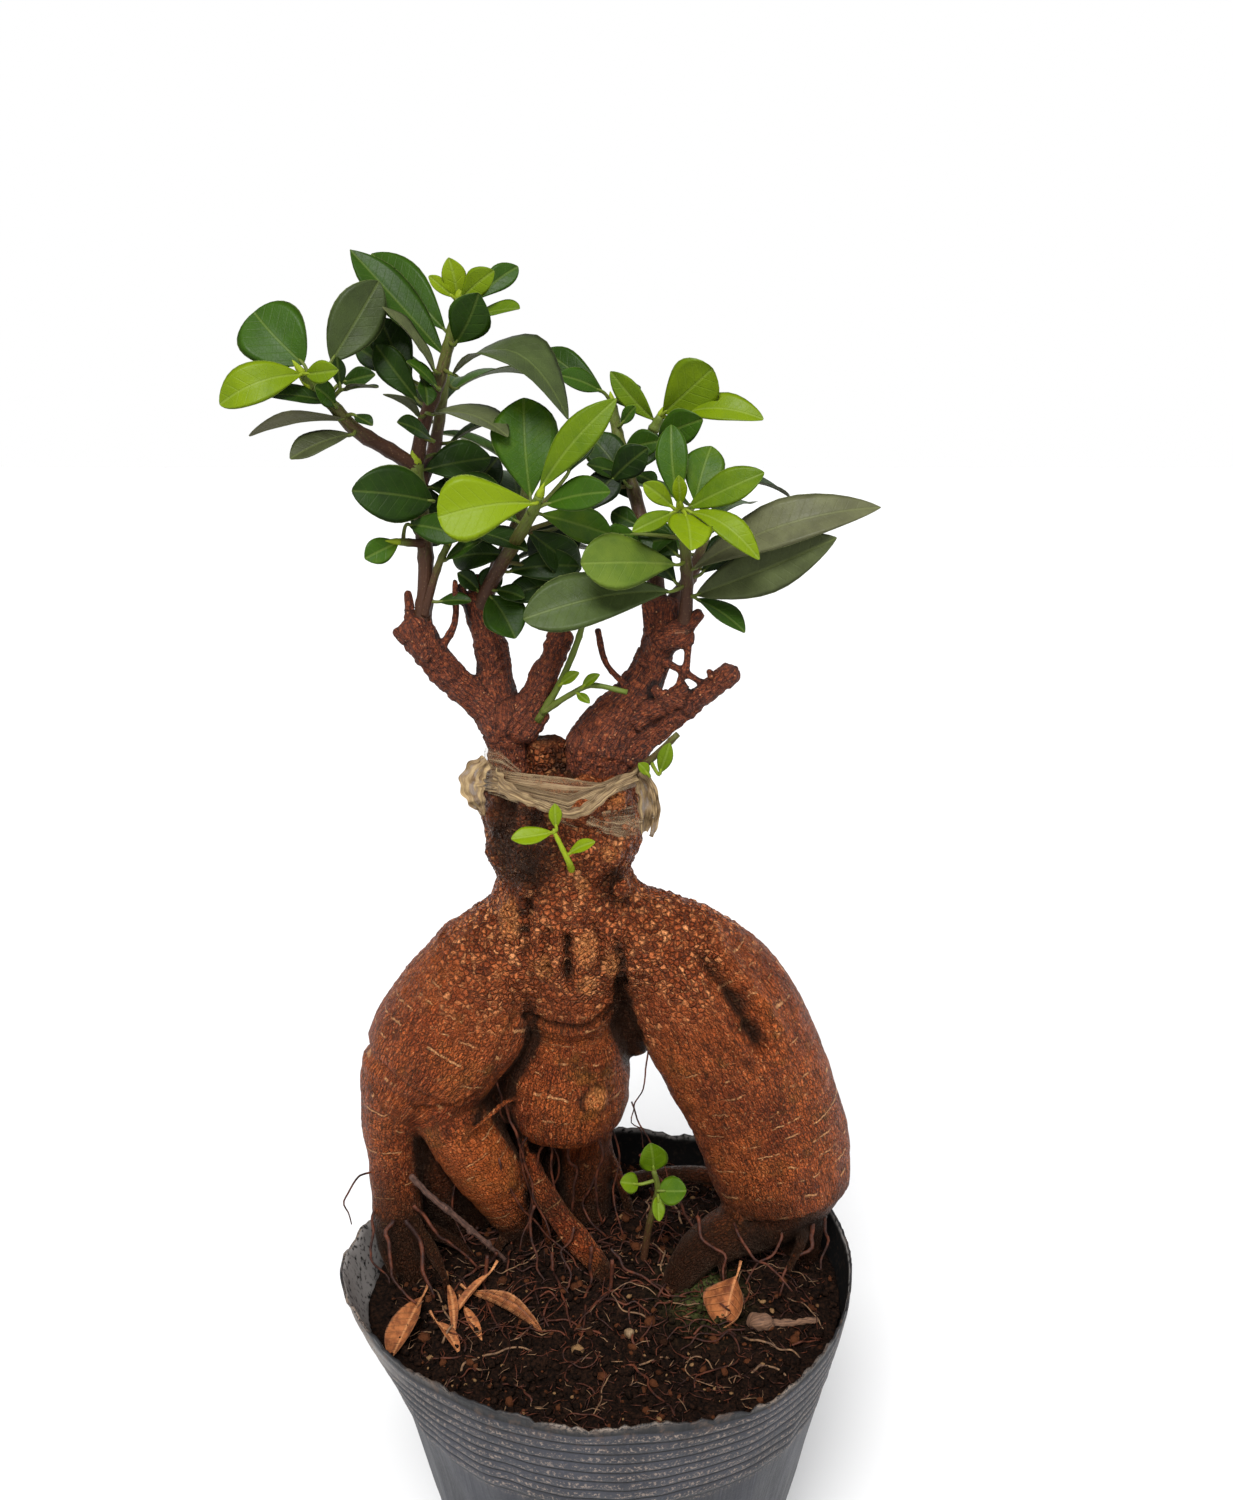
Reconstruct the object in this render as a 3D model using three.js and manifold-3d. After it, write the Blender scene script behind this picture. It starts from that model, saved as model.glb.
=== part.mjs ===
// Ginseng ficus: a swollen fig rootstock with two grafted leafy scions, in a soft nursery pot.
// Millimetres, Z up. The origin is the centre of the pot's base, and the front faces -Y.
import * as THREE from 'three';
import { mergeVertices } from 'three/addons/utils/BufferGeometryUtils.js';
import Module from 'manifold-3d';

// Driving dimensions
const RIM_RADIUS = 58.3;
const RIM_HEIGHT = 93;
const WALL_ANGLE = 13 * Math.PI / 180;
const FILM = 0.9;
const SOIL_EDGE = 85;
const SOIL_MOUND = 7;
const BLADE = 0.7;
const GAP = 0.3;

// The neck of the plant stands a little behind the pot's centre.
const NECK_DEPTH = 10;

// The eye that places are read from, in front of the pot and above it. Rows measure x from a line
// that stands a little to the left of the pot's middle.
const ROWS_FROM = -3.6;
const EYE = new THREE.Vector3(0.8, -304, 306);
const DEPTH_AXIS = new THREE.Vector3(0, 1, 0);
const UP = new THREE.Vector3(0, 0, 1);

const wasm = await Module();
wasm.setup();

// Places

// How much larger a thing at depth y is than it looks in the plane y = 0.
const scaleAt = (y) => (y - EYE.y) / -EYE.y;

// A place that shows at x, z in the plane y = 0 and lies at depth y on the same line of sight.
function seen(x, z, y) {
  const back = scaleAt(y);
  return new THREE.Vector3(EYE.x + (x + ROWS_FROM - EYE.x) * back, y, EYE.z + (z - EYE.z) * back);
}

// The same draws every time, between low and high.
function dice(seed) {
  let state = seed;
  return (low, high) => {
    state = (state * 16807) % 2147483647;
    return low + (high - low) * state / 2147483647;
  };
}

// Solids

function toSolid(geometry) {
  geometry.deleteAttribute('normal');
  geometry.deleteAttribute('uv');
  const merged = mergeVertices(geometry, 1e-4);
  return new wasm.Manifold(new wasm.Mesh({
    numProp: 3,
    vertProperties: new Float32Array(merged.attributes.position.array),
    triVerts: new Uint32Array(merged.index.array),
  }));
}

function toGeometry(solid) {
  const mesh = solid.getMesh();
  const geometry = new THREE.BufferGeometry();
  geometry.setAttribute('position', new THREE.BufferAttribute(new Float32Array(mesh.vertProperties), 3));
  geometry.setIndex(new THREE.BufferAttribute(new Uint32Array(mesh.triVerts), 1));
  return geometry;
}

const join = (solids) => solids.reduce((whole, solid) => whole.add(solid));

// The largest body of a solid: loose scraps go, and a sealed hollow is filled.
function mainBody(solid) {
  const bodies = solid.decompose();
  bodies.sort((one, other) => other.volume() - one.volume());
  return bodies[0];
}

// The outline that turns into a tube of unit radius and unit height, with flat or domed ends.
function tubeOutline(steps, domes) {
  const arc = [[0, 1], [0.6, 0.8], [0.9, 0.42]];
  const outline = [];
  const start = domes[0] ? arc : [[0, 0]];
  const end = domes[1] ? arc : [[0, 0]];
  start.forEach(([radius, height]) => outline.push(new THREE.Vector2(radius, -height * domes[0])));
  for (let step = 0; step <= steps; step++) outline.push(new THREE.Vector2(1, step / steps));
  [...end].reverse().forEach(([radius, height]) => {
    outline.push(new THREE.Vector2(radius, 1 + height * domes[1]));
  });
  return outline;
}

// A round or oval tube bent along a route, with its own radius at each point of it.
function tube(points, radii, { sides = 8, flat = 1, domes = [0, 0], grow = 0 }) {
  const route = new THREE.CatmullRomCurve3(points);
  const girths = radii.map((radius) => new THREE.Vector3(radius, 0, 0));
  const girth = new THREE.CatmullRomCurve3(girths, false, 'catmullrom');
  const geometry = new THREE.LatheGeometry(tubeOutline(points.length - 1, domes), sides);
  const place = geometry.attributes.position;
  const vertex = new THREE.Vector3();
  for (let i = 0; i < place.count; i++) {
    vertex.fromBufferAttribute(place, i);
    const t = THREE.MathUtils.clamp(vertex.y, 0, 1);
    const beyond = vertex.y - t;
    const radius = girth.getPoint(t).x + grow;
    const forward = route.getTangent(t);
    const side = forward.clone().cross(DEPTH_AXIS).normalize();
    const depth = side.clone().cross(forward);
    const endShift = beyond * radius + grow * ((t === 1) - (t === 0));
    const spot = route.getPoint(t).addScaledVector(forward, endShift);
    spot.addScaledVector(side, vertex.x * radius).addScaledVector(depth, vertex.z * radius * flat);
    place.setXYZ(i, spot.x, spot.y, spot.z);
  }
  return toSolid(geometry);
}

// A tube whose rows are x, z as seen, the depth y, and the radius as seen.
function limb(rows, options = {}) {
  const points = rows.map(([x, z, y]) => seen(x, z, y));
  const radii = rows.map(([, , y, r]) => r * scaleAt(y));
  return tube(points, radii, options);
}

// A thin closed slab: place gives a point for u across, v along (0 to 1) and the face, 1 above or -1 below.
// Both faces are split into triangles alike.
function slab(columns, rows, place) {
  const sheet = new THREE.PlaneGeometry(1, 1, columns, rows);
  const count = sheet.attributes.position.count;
  const flat = sheet.attributes.position;
  const spots = [];
  for (const face of [1, -1]) {
    for (let i = 0; i < count; i++) {
      spots.push(...place(flat.getX(i) + 0.5, 0.5 - flat.getY(i), face).toArray());
    }
  }
  const faces = Array.from(sheet.index.array);
  const triangles = [...faces];
  for (let i = 0; i < faces.length; i += 3) {
    triangles.push(faces[i + 2] + count, faces[i + 1] + count, faces[i] + count);
  }
  const edge = slabEdge(columns, rows);
  edge.forEach((a, i) => {
    const b = edge[(i + 1) % edge.length];
    triangles.push(b, a, a + count, b, a + count, b + count);
  });
  const geometry = new THREE.BufferGeometry();
  geometry.setAttribute('position', new THREE.Float32BufferAttribute(spots, 3));
  geometry.setIndex(triangles);
  return toSolid(geometry);
}

// The vertices round a sheet, counter-clockwise from the first one.
function slabEdge(columns, rows) {
  const wide = columns + 1;
  const edge = [];
  for (let row = 0; row < rows; row++) edge.push(row * wide);
  for (let column = 0; column < columns; column++) edge.push(rows * wide + column);
  for (let row = rows; row > 0; row--) edge.push(row * wide + columns);
  for (let column = columns; column > 0; column--) edge.push(column);
  return edge;
}

// Leaves

// Half of a leaf's width along its length, 0 to 1: a wedge at the stalk, widest past the middle, and a
// blunt tip.
const leafHalf = (v) => 1.06 * Math.sin(Math.PI * v ** 1.2) ** 0.72;

// The rows of a blade from base to tip, closer together at both ends.
const leafWay = (v) => 0.5 - 0.5 * Math.cos(Math.PI * (0.06 + 0.88 * v)) / Math.cos(Math.PI * 0.06);

// A leaf on its stalk: a narrow strip from the foot to the blade's base, then the blade, arched along its
// rib and folded up a little on both sides of it. A small leaf is flat across.
function blade({ foot, base, tip, top, width, arch, fold }, grow = 0) {
  const along = tip.clone().sub(base);
  const length = along.length();
  along.normalize();
  const across = top.clone().cross(along);
  const stem = base.clone().sub(foot).normalize();
  const stemAcross = top.clone().cross(stem);
  if (stemAcross.length() < 0.3) stemAcross.copy(across);
  stemAcross.normalize();
  const stemTop = stem.clone().cross(stemAcross).normalize();
  const columns = width > 9 ? 2 : 1;
  const rows = Math.round(THREE.MathUtils.clamp(width / 3.8, 2, 4));
  const stalkHalf = 0.6;
  return slab(columns, rows + 1, (u, v, face) => {
    const row = Math.round(v * (rows + 1));
    const side = 2 * u - 1;
    const lift = face * (BLADE / 2 + grow);
    if (row === 0) {
      return foot.clone()
        .addScaledVector(stem, -grow)
        .addScaledVector(stemAcross, side * (stalkHalf + grow))
        .addScaledVector(stemTop, lift);
    }
    const way = leafWay((row - 1) / rows);
    const half = Math.max(leafHalf(way) * width / 2, stalkHalf) + grow;
    const rise = arch * length * 4 * way * (1 - way) + fold * half * (Math.abs(side) - 0.5) * (columns - 1);
    return base.clone()
      .addScaledVector(along, way * length + grow * (row === rows + 1))
      .addScaledVector(across, side * half)
      .addScaledVector(top, rise + lift);
  });
}

// A leaf's place from its row: base x, z, y and tip x, z, y, its width as seen, and the angle by which
// its upper face is turned from the eye towards the sky. The blade is as much wider as that turn hides.
function leafFromRow([bx, bz, by, tx, tz, ty, wide, turn = 20, arch = 0.08, fold = 0.2]) {
  const base = seen(bx, bz, by);
  const tip = seen(tx, tz, ty);
  const along = tip.clone().sub(base);
  const toEye = EYE.clone().sub(base.clone().lerp(tip, 0.5));
  const side = along.clone().cross(toEye).normalize();
  if (side.z < 0) side.negate();
  const facing = toEye.projectOnPlane(along.clone().normalize()).normalize();
  const angle = THREE.MathUtils.degToRad(turn);
  const top = facing.multiplyScalar(Math.cos(angle)).addScaledVector(side, Math.sin(angle));
  const shown = wide * scaleAt((by + ty) / 2);
  const opened = Math.min(shown / Math.max(Math.abs(Math.cos(angle)), 0.3), 0.5 * along.length());
  return { base, tip, top, width: Math.max(shown, opened), arch, fold };
}

// The place on the twigs that is nearest to a leaf's base: its stalk starts there.
function nearestOn(routes, base) {
  const spots = routes.flatMap((route) => route.getPoints(24));
  return spots.reduce((best, spot) => (spot.distanceTo(base) < best.distanceTo(base) ? spot : best));
}

// One leafy shoot: its twigs, and leaves on stalks that are sunk into them.
function shoot({ twigs, leaves = [], moreLeaves = [] }) {
  const routes = twigs.map((rows) => new THREE.CatmullRomCurve3(rows.map(([x, z, y]) => seen(x, z, y))));
  const all = [...leaves.map(leafFromRow), ...moreLeaves];
  all.forEach((leaf) => { leaf.foot = nearestOn(routes, leaf.base); });
  return (grow) => join([
    ...twigs.map((rows) => limb(rows, { sides: rows[0][3] > 1.3 ? 5 : 4, grow })),
    ...all.map((leaf) => blade(leaf, grow)),
  ]);
}

// Leaves set round a twig by rule: each is turned on from the last by the golden angle and rises a little.
function leavesByRule(rows, count, reach, seed) {
  const route = new THREE.CatmullRomCurve3(rows.map(([x, z, y]) => seen(x, z, y)));
  const draw = dice(seed);
  const leaves = [];
  for (let i = 0; i < count; i++) {
    const base = route.getPoint(0.35 + 0.65 * i / (count - 1));
    const turn = i * 2.4 + draw(-0.3, 0.3);
    const away = new THREE.Vector3(Math.cos(turn), Math.abs(Math.sin(turn)) * 0.9 + 0.15, draw(0.05, 0.55));
    away.normalize();
    const length = reach * draw(0.85, 1.1);
    const start = base.clone().addScaledVector(away, 3.5);
    const tip = start.clone().addScaledVector(away, length);
    const top = UP.clone().projectOnPlane(away).normalize();
    leaves.push({ base: start, tip, top, width: length * 0.46, arch: 0.1, fold: 0.22 });
  }
  return leaves;
}

// Pot

const wallRadius = (z) => RIM_RADIUS - (RIM_HEIGHT - z) * Math.tan(WALL_ANGLE);
const POT_SIDES = 26;
const TORN_ABOVE = SOIL_EDGE + 1;
const WALL_BENDS = [74, 60];

// The film's outline: floor, smooth wall, fine rings under the rim, then down the inside.
function potOutline() {
  const ringCount = 8;
  const ringPitch = 2.8;
  const ringDepth = 0.45;
  const outline = [[0, 0], [wallRadius(0) - 1.2, 0], [wallRadius(1.2), 1.2], [wallRadius(36), 36]];
  for (let ring = ringCount; ring > 0; ring--) {
    const low = RIM_HEIGHT - 2 - ring * ringPitch;
    outline.push([wallRadius(low), low], [wallRadius(low) + ringDepth, low + ringPitch * 0.6]);
  }
  outline.push([wallRadius(RIM_HEIGHT), RIM_HEIGHT], [wallRadius(RIM_HEIGHT) - FILM, RIM_HEIGHT]);
  for (const z of [TORN_ABOVE, ...WALL_BENDS, FILM]) outline.push([wallRadius(z) - FILM, z]);
  outline.push([0, FILM]);
  return outline.map(([radius, height]) => new THREE.Vector2(radius, height));
}

// How the torn rim rises and falls at an angle round the pot, and how far the soft wall leans out there.
// The film is pushed out on the left, where its lip also stands higher.
const BULGE_ANGLE = -2.95;
const lipBulge = (angle) => Math.exp((Math.cos(angle - BULGE_ANGLE) - 1) / 0.12);
const rimTears = (angle) => 0.7 * Math.sin(3 * angle + 0.6) + 0.5 * Math.sin(8 * angle)
  + 0.3 * Math.sin(17 * angle + 2);
const rimRise = (angle) => 2.6 * Math.sin(angle) + 4 * lipBulge(angle) + rimTears(angle);
const wallPush = (angle) => 6.5 * lipBulge(angle) + 0.5 * Math.sin(5 * angle);

// Bends the upright wall of a round geometry into the soft pot's shape.
function soften(geometry) {
  const place = geometry.attributes.position;
  const firm = 58;
  for (let i = 0; i < place.count; i++) {
    const [x, y, z] = [place.getX(i), place.getY(i), place.getZ(i)];
    const high = THREE.MathUtils.clamp((z - firm) / (RIM_HEIGHT - firm), 0, 1);
    const top = THREE.MathUtils.clamp((z - TORN_ABOVE) / (RIM_HEIGHT - TORN_ABOVE), 0, 1);
    const angle = Math.atan2(y, x);
    const push = 1 + high ** 2 * wallPush(angle) / RIM_RADIUS;
    place.setXYZ(i, x * push, y * push, z + top * rimRise(angle));
  }
}

function pot() {
  const geometry = new THREE.LatheGeometry(potOutline(), POT_SIDES);
  geometry.rotateX(Math.PI / 2);
  soften(geometry);
  const drains = [];
  const drainCount = 6;
  for (let i = 0; i < drainCount; i++) {
    const drain = new THREE.CylinderGeometry(3.5, 3.5, 6, 8);
    const angle = (i + 0.5) * 2 * Math.PI / drainCount;
    drain.rotateX(Math.PI / 2);
    drain.translate(28 * Math.cos(angle), 28 * Math.sin(angle), 0);
    drains.push(toSolid(drain));
  }
  return toSolid(geometry).subtract(join(drains));
}

// Soil

// The soil's height: a mound round the plant's foot, with crumbs and hollows.
function soilHeight(x, y) {
  const mound = SOIL_MOUND * Math.exp(-((x / 48) ** 2) - (((y - 16) / 30) ** 2));
  return SOIL_EDGE + mound + 0.7 * Math.sin(x / 4.1 + y / 7) * Math.cos(y / 4.7 - x / 9);
}

function soil() {
  const inside = (z) => wallRadius(z) - FILM - 1.5 * GAP;
  const low = FILM + GAP;
  const rings = [46, 31, 15, 0];
  const levels = [low, ...[...WALL_BENDS].reverse(), SOIL_EDGE];
  const outline = [[0, low], ...levels.map((z) => [inside(z), z])];
  rings.forEach((radius) => outline.push([radius, RIM_HEIGHT]));
  const geometry = new THREE.LatheGeometry(outline.map(([r, z]) => new THREE.Vector2(r, z)), POT_SIDES);
  geometry.rotateX(Math.PI / 2);
  const place = geometry.attributes.position;
  const onTop = Array.from({ length: place.count }, (_, i) => place.getZ(i) > SOIL_EDGE + 1);
  onTop.forEach((top, i) => { if (top) place.setZ(i, soilHeight(place.getX(i), place.getY(i))); });
  const wall = geometry.clone();
  soften(wall);
  for (let i = 0; i < place.count; i++) {
    if (!onTop[i]) place.setXY(i, wall.attributes.position.getX(i), wall.attributes.position.getY(i));
  }
  return toSolid(geometry);
}

// The depth at which the line of sight through x, z meets the soil, or a height above it.
function depthOnSoil(x, z, above = 0) {
  let near = -RIM_RADIUS;
  let far = RIM_RADIUS;
  for (let i = 0; i < 20; i++) {
    const middle = (near + far) / 2;
    const spot = seen(x, z, middle);
    if (spot.z > soilHeight(spot.x, spot.y) + above) near = middle;
    else far = middle;
  }
  return near;
}

// A round stone, knot or bud at a place as seen.
function lump(x, z, y, radius, stretch, grow = 0) {
  const geometry = new THREE.SphereGeometry(1, 6, 3);
  const size = radius * scaleAt(y);
  geometry.scale(size * stretch[0] + grow, size * stretch[1] + grow, size * stretch[2] + grow);
  const spot = seen(x, z, y);
  geometry.translate(spot.x, spot.y, spot.z);
  return toSolid(geometry);
}

// Rootstock: neck, chest and belly, two bent arms, and the legs and roots that they stand on.
// Rows are x, z as seen, depth y, radius as seen.
const ROOTSTOCK = {
  neck: {
    rows: [[-7, 180, 11, 16.5], [-7.2, 188, 10.5, 16.5], [-7.4, 195, 10, 14.2], [-8.2, 201, 10, 16.4],
      [-7.6, 207, 10, 18.1], [-8.2, 216, 10, 16]],
    shape: { sides: 10, flat: 0.86, domes: [0, 0.2] },
  },
  yoke: {
    rows: [[-31, 171.5, 9.5, 9.6], [-20, 177, 10, 11], [-6, 179, 10, 12], [8, 178, 10, 12.5],
      [20, 173, 10, 12]],
    shape: { sides: 10, domes: [0.4, 0.4] },
  },
  torso: {
    rows: [[-7, 180, 10.5, 15], [-6.6, 166, 10.5, 12.6], [-6, 158, 12, 10.9], [-6.4, 149, 13.5, 13],
      [-7, 141, 15, 14.4], [-7.7, 134, 16, 11.8]],
    shape: { sides: 10, flat: 0.95, domes: [0, 0.42] },
  },
  leftArm: {
    rows: [[-19, 177, 9.5, 12], [-27.8, 168, 9, 13.8], [-33.2, 158.5, 9, 16], [-38, 150, 8.5, 16.2],
      [-41, 145, 8, 14]],
    shape: { sides: 11, flat: 0.92, domes: [0.3, 0.4] },
  },
  leftUnderarm: {
    rows: [[-23, 165, 9, 9], [-26, 156.5, 7, 10.5], [-29.5, 150.5, 6.5, 9.6]],
    shape: { sides: 10, domes: [0.3, 0.6] },
  },
  leftBack: {
    rows: [[-21, 162, 17, 9], [-25, 146, 17, 9.5], [-29, 132, 17, 7.5], [-30, 116, 20, 5], [-29, 92, 24, 3]],
    shape: { sides: 8, domes: [0.3, 0] },
  },
  rightBack: {
    rows: [[3, 174, 15, 9], [7.5, 160, 16, 6.5], [9, 150.5, 17, 3]],
    shape: { sides: 6, domes: [0.3, 0.5] },
  },
  outerLeg: {
    rows: [[-44.8, 145, 8, 11.2], [-48.6, 133.5, 7.5, 7.9], [-49.2, 122, 7.5, 6.2],
      [-49.2, 112, 7, 5.7], [-48.8, 103, 6, 5.9], [-47, 92, 4, 5.2], [-42, 78, 4, 3]],
    shape: { sides: 9, domes: [0.3, 0] },
  },
  carrotLeg: {
    rows: [[-37.5, 146, 8, 9], [-36.5, 138, 7, 9.5], [-33.3, 130.5, 7, 9], [-27.6, 120, 8.5, 8.4],
      [-22.6, 109.5, 11, 6.2], [-18.6, 101.5, 13.5, 4.2], [-14, 90, 15, 2.4]],
    shape: { sides: 9, domes: [0.3, 0] },
  },
  rightArm: {
    rows: [[10, 178, 10, 12], [18.5, 172.5, 9, 14.4], [26, 162.5, 8.5, 18.3], [32.3, 151, 8, 18.9],
      [37.8, 139, 8, 18.2], [41.7, 128, 8, 17.8], [44, 119, 8, 16.8], [45.6, 112, 8, 13.6]],
    shape: { sides: 12, flat: 0.8, domes: [0.3, 0.55] },
  },
  rightFoot: {
    rows: [[45, 108, 7, 7.8], [38, 103, 5, 6.8], [31, 100, 2, 6.2], [24.5, 95, -1, 5.2], [19.5, 87, -3, 3.8],
      [16, 77, -4, 2]],
    shape: { sides: 9, domes: [0.3, 0] },
  },
  rightHeel: {
    rows: [[49, 112, 9, 7.4], [49.5, 102, 10, 5.5], [49, 90, 11, 4.5], [47, 78, 11, 3]],
    shape: { sides: 8, domes: [0.3, 0] },
  },
  peg: {
    rows: [[-4.5, 136, 18, 8.5], [-3.5, 124, 20, 6.9], [-3.3, 107, 22, 6.4], [-3, 90, 22, 5]],
    shape: { sides: 8 },
  },
  frontRoot: {
    rows: [[-17, 122, 11, 2.4], [-14.5, 114, 9, 2.7], [-9.6, 105, 5.5, 2.8],
      [-4.6, 97.5, 2, 3.2], [0.6, 90, -1, 2.6], [4, 82, -3, 1.4]],
    shape: { sides: 6 },
  },
};

// The deep groove at the top of the right arm, cut out of it.
const GROOVE = [[23.5, 173.5, -6, 1.4], [28, 167, -7.4, 3], [32.5, 160.5, -8, 3.2], [37.5, 154, -7.4, 1.4]];

// The dark slit in the chest between its two scars.
const SLIT = [[-6.8, 179, -4.6, 0.9], [-6.9, 173, -4.8, 1.5], [-6.6, 167.5, -3.6, 0.9]];

// Thinner roots: some hang from the arms or lie across them, others run out into the soil.
const ROOTS = [
  [[-38.5, 120.5, 3, 0.8], [-34, 124.5, -0.8, 0.8], [-28, 130.5, -0.8, 0.8], [-21.5, 137, 3, 0.9],
    [-17, 139, 9, 0.9]],
  [[-22.5, 137, 7, 1], [-18.5, 128, 9, 0.9], [-16.2, 118, 10, 0.9], [-13.2, 105, 9, 0.9], [-12, 94, 9, 0.8]],
  [[-10, 126, 17, 1.2], [-12.5, 114, 17, 1.1], [-11, 100, 17, 1.2]],
  [[2, 124, 19, 1.3], [6, 112, 19, 1.2], [9, 100, 20, 1.2]],
  [[-1, 112, 22, 1.6], [14, 116.5, 25, 1.8], [27, 116, 21, 1.9], [36, 112, 14, 2]],
  [[-47, 106, 5, 2.2], [-42, 97, 1, 1.8], [-38.5, 89, -3, 1.2], [-37, 80, -5, 0.9]],
  [[-46, 104, 8, 2], [-39, 100, 9, 1.7], [-33, 96, 8, 1.3], [-29, 88, 7, 1]],
  [[27, 101, 1, 1.6], [30, 94, -4, 1.2], [31, 86, -7, 0.9]],
  [[50, 107, 6, 1.8], [50, 99, 0, 1.2], [46.8, 90, -4, 0.9]],
];

// Knots, lumps and cut marks: x, z as seen, depth, radius and stretch along X, Y, Z.
const KNOTS = [
  [-2.8, 197.8, -2.5, 2.6, [1, 0.8, 1]],
  [2.8, 198.6, -1, 3, [1, 0.9, 1]],
  [4.8, 211, 0, 3, [1, 0.9, 1.2]],
  [-21.5, 207, 0, 3.4, [0.9, 0.9, 1.2]],
  [-0.4, 136.4, 3.2, 3, [1, 1, 1]],
  [-20.6, 182.5, 0, 3.4, [0.8, 0.6, 1.3]],
  [-2, 174.6, -2.4, 4, [1, 0.5, 1]],
];

// The rootstock's own top, cut off between the grafts.
const STUMP = [[-11, 211, 9, 5.2], [-11, 218, 8.5, 4.9], [-11, 223.5, 8.5, 4.2]];

function rootstock(grow) {
  const bulk = Object.values(ROOTSTOCK).map(({ rows, shape }) => limb(rows, { ...shape, grow }));
  const roots = ROOTS.map((rows) => limb(rows, { sides: rows[0][3] > 1.7 ? 5 : 4, grow }));
  const knots = KNOTS.map(([x, z, y, radius, stretch]) => lump(x, z, y, radius, stretch, grow));
  const stump = limb(STUMP, { sides: 10, domes: [0, 0.7], grow });
  const cuts = [GROOVE, SLIT].map((rows) => limb(rows, { sides: 6, domes: [0.8, 0.8] }));
  return join([...bulk, ...roots, ...knots, stump]).subtract(join(cuts));
}

// Scions: the two grafted trunks with their cut branches.
const SCION_LEFT = {
  heavy: [
    [[-18.4, 208, 10, 5.4], [-19, 216, 10, 5], [-19.4, 224, 10, 4.9], [-19.6, 231, 10, 5.2]],
    [[-19.6, 228, 10, 4.8], [-24, 233, 10, 4.2], [-29.5, 237.3, 9.5, 3.9], [-34, 242, 9, 3.8],
      [-37.6, 247, 9, 4], [-39.6, 250.8, 9, 4]],
    [[-20.2, 228, 10, 4.4], [-21.8, 237, 10.5, 3.7], [-22.8, 246, 11, 3.4], [-25, 253, 11, 3.3],
      [-26, 257.5, 11, 2.8]],
    [[-18, 228, 9, 4.4], [-13.7, 234.5, 8, 3.3], [-10, 243, 7, 2.9], [-7.4, 249, 7, 2.6]],
  ],
  light: [
    [[-15, 227, 6.5, 2.4], [-12, 231, 6, 1.7]],
    [[-40, 252, 9, 1.5], [-40.6, 258, 9, 0.8]],
    [[-34, 245.5, 8, 1.1], [-30.6, 251.5, 7, 0.8], [-30.3, 260.5, 7, 0.7]],
    [[-27, 255, 10, 1.2], [-29.5, 259.5, 9, 0.8]],
    [[-25, 255, 9.5, 1.2], [-25.5, 261.5, 8.5, 0.8]],
  ],
};

const SCION_RIGHT = {
  heavy: [
    [[-1.5, 210, 10, 6.5], [-0.2, 218, 10, 7.2], [1, 224, 10, 7.4], [4.6, 230, 10, 6.2], [9, 236, 10, 4.9],
      [12.7, 244, 10, 4], [14.5, 252, 10, 3.8], [15, 256, 10, 3.2]],
    [[-3.6, 217, 8, 3.8], [-3, 224.6, 8, 3.7]],
    [[4, 218, 8, 3.8], [9, 223.3, 7, 2.9], [16, 229.2, 6, 2.6], [23.5, 235.6, 5, 2.6],
      [29.3, 240.6, 4, 2.8]],
    [[14, 248, 9, 3], [18.6, 249, 6.5, 3.4]],
  ],
  light: [
    [[12, 250, 8.5, 1.8], [11, 255.5, 8, 1.3]],
    [[18, 249, 6, 1.9], [22.3, 253.4, 6, 1.3]],
    [[8.5, 230.5, 7, 3], [14, 233, 5.5, 2.3], [19.5, 236.6, 5, 1.6]],
    [[20, 248.5, 5.5, 0.9], [19.5, 241.5, 5, 0.8], [16.8, 235.7, 5, 0.8], [12, 230.5, 6, 0.9]],
    [[14.5, 243, 7, 1], [19.5, 240.3, 5, 0.7], [24.7, 237, 5, 0.8]],
    [[8, 236, 8, 1.1], [5.2, 238.7, 6, 0.8], [2, 242.7, 5, 0.7], [0.3, 249.7, 5, 0.7]],
  ],
};

const scion = ({ heavy, light }) => (grow) => join([
  ...heavy.map((rows) => limb(rows, { sides: 7, domes: [0, 0.5], grow })),
  ...light.map((rows) => limb(rows, { sides: 5, grow })),
]);

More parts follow.
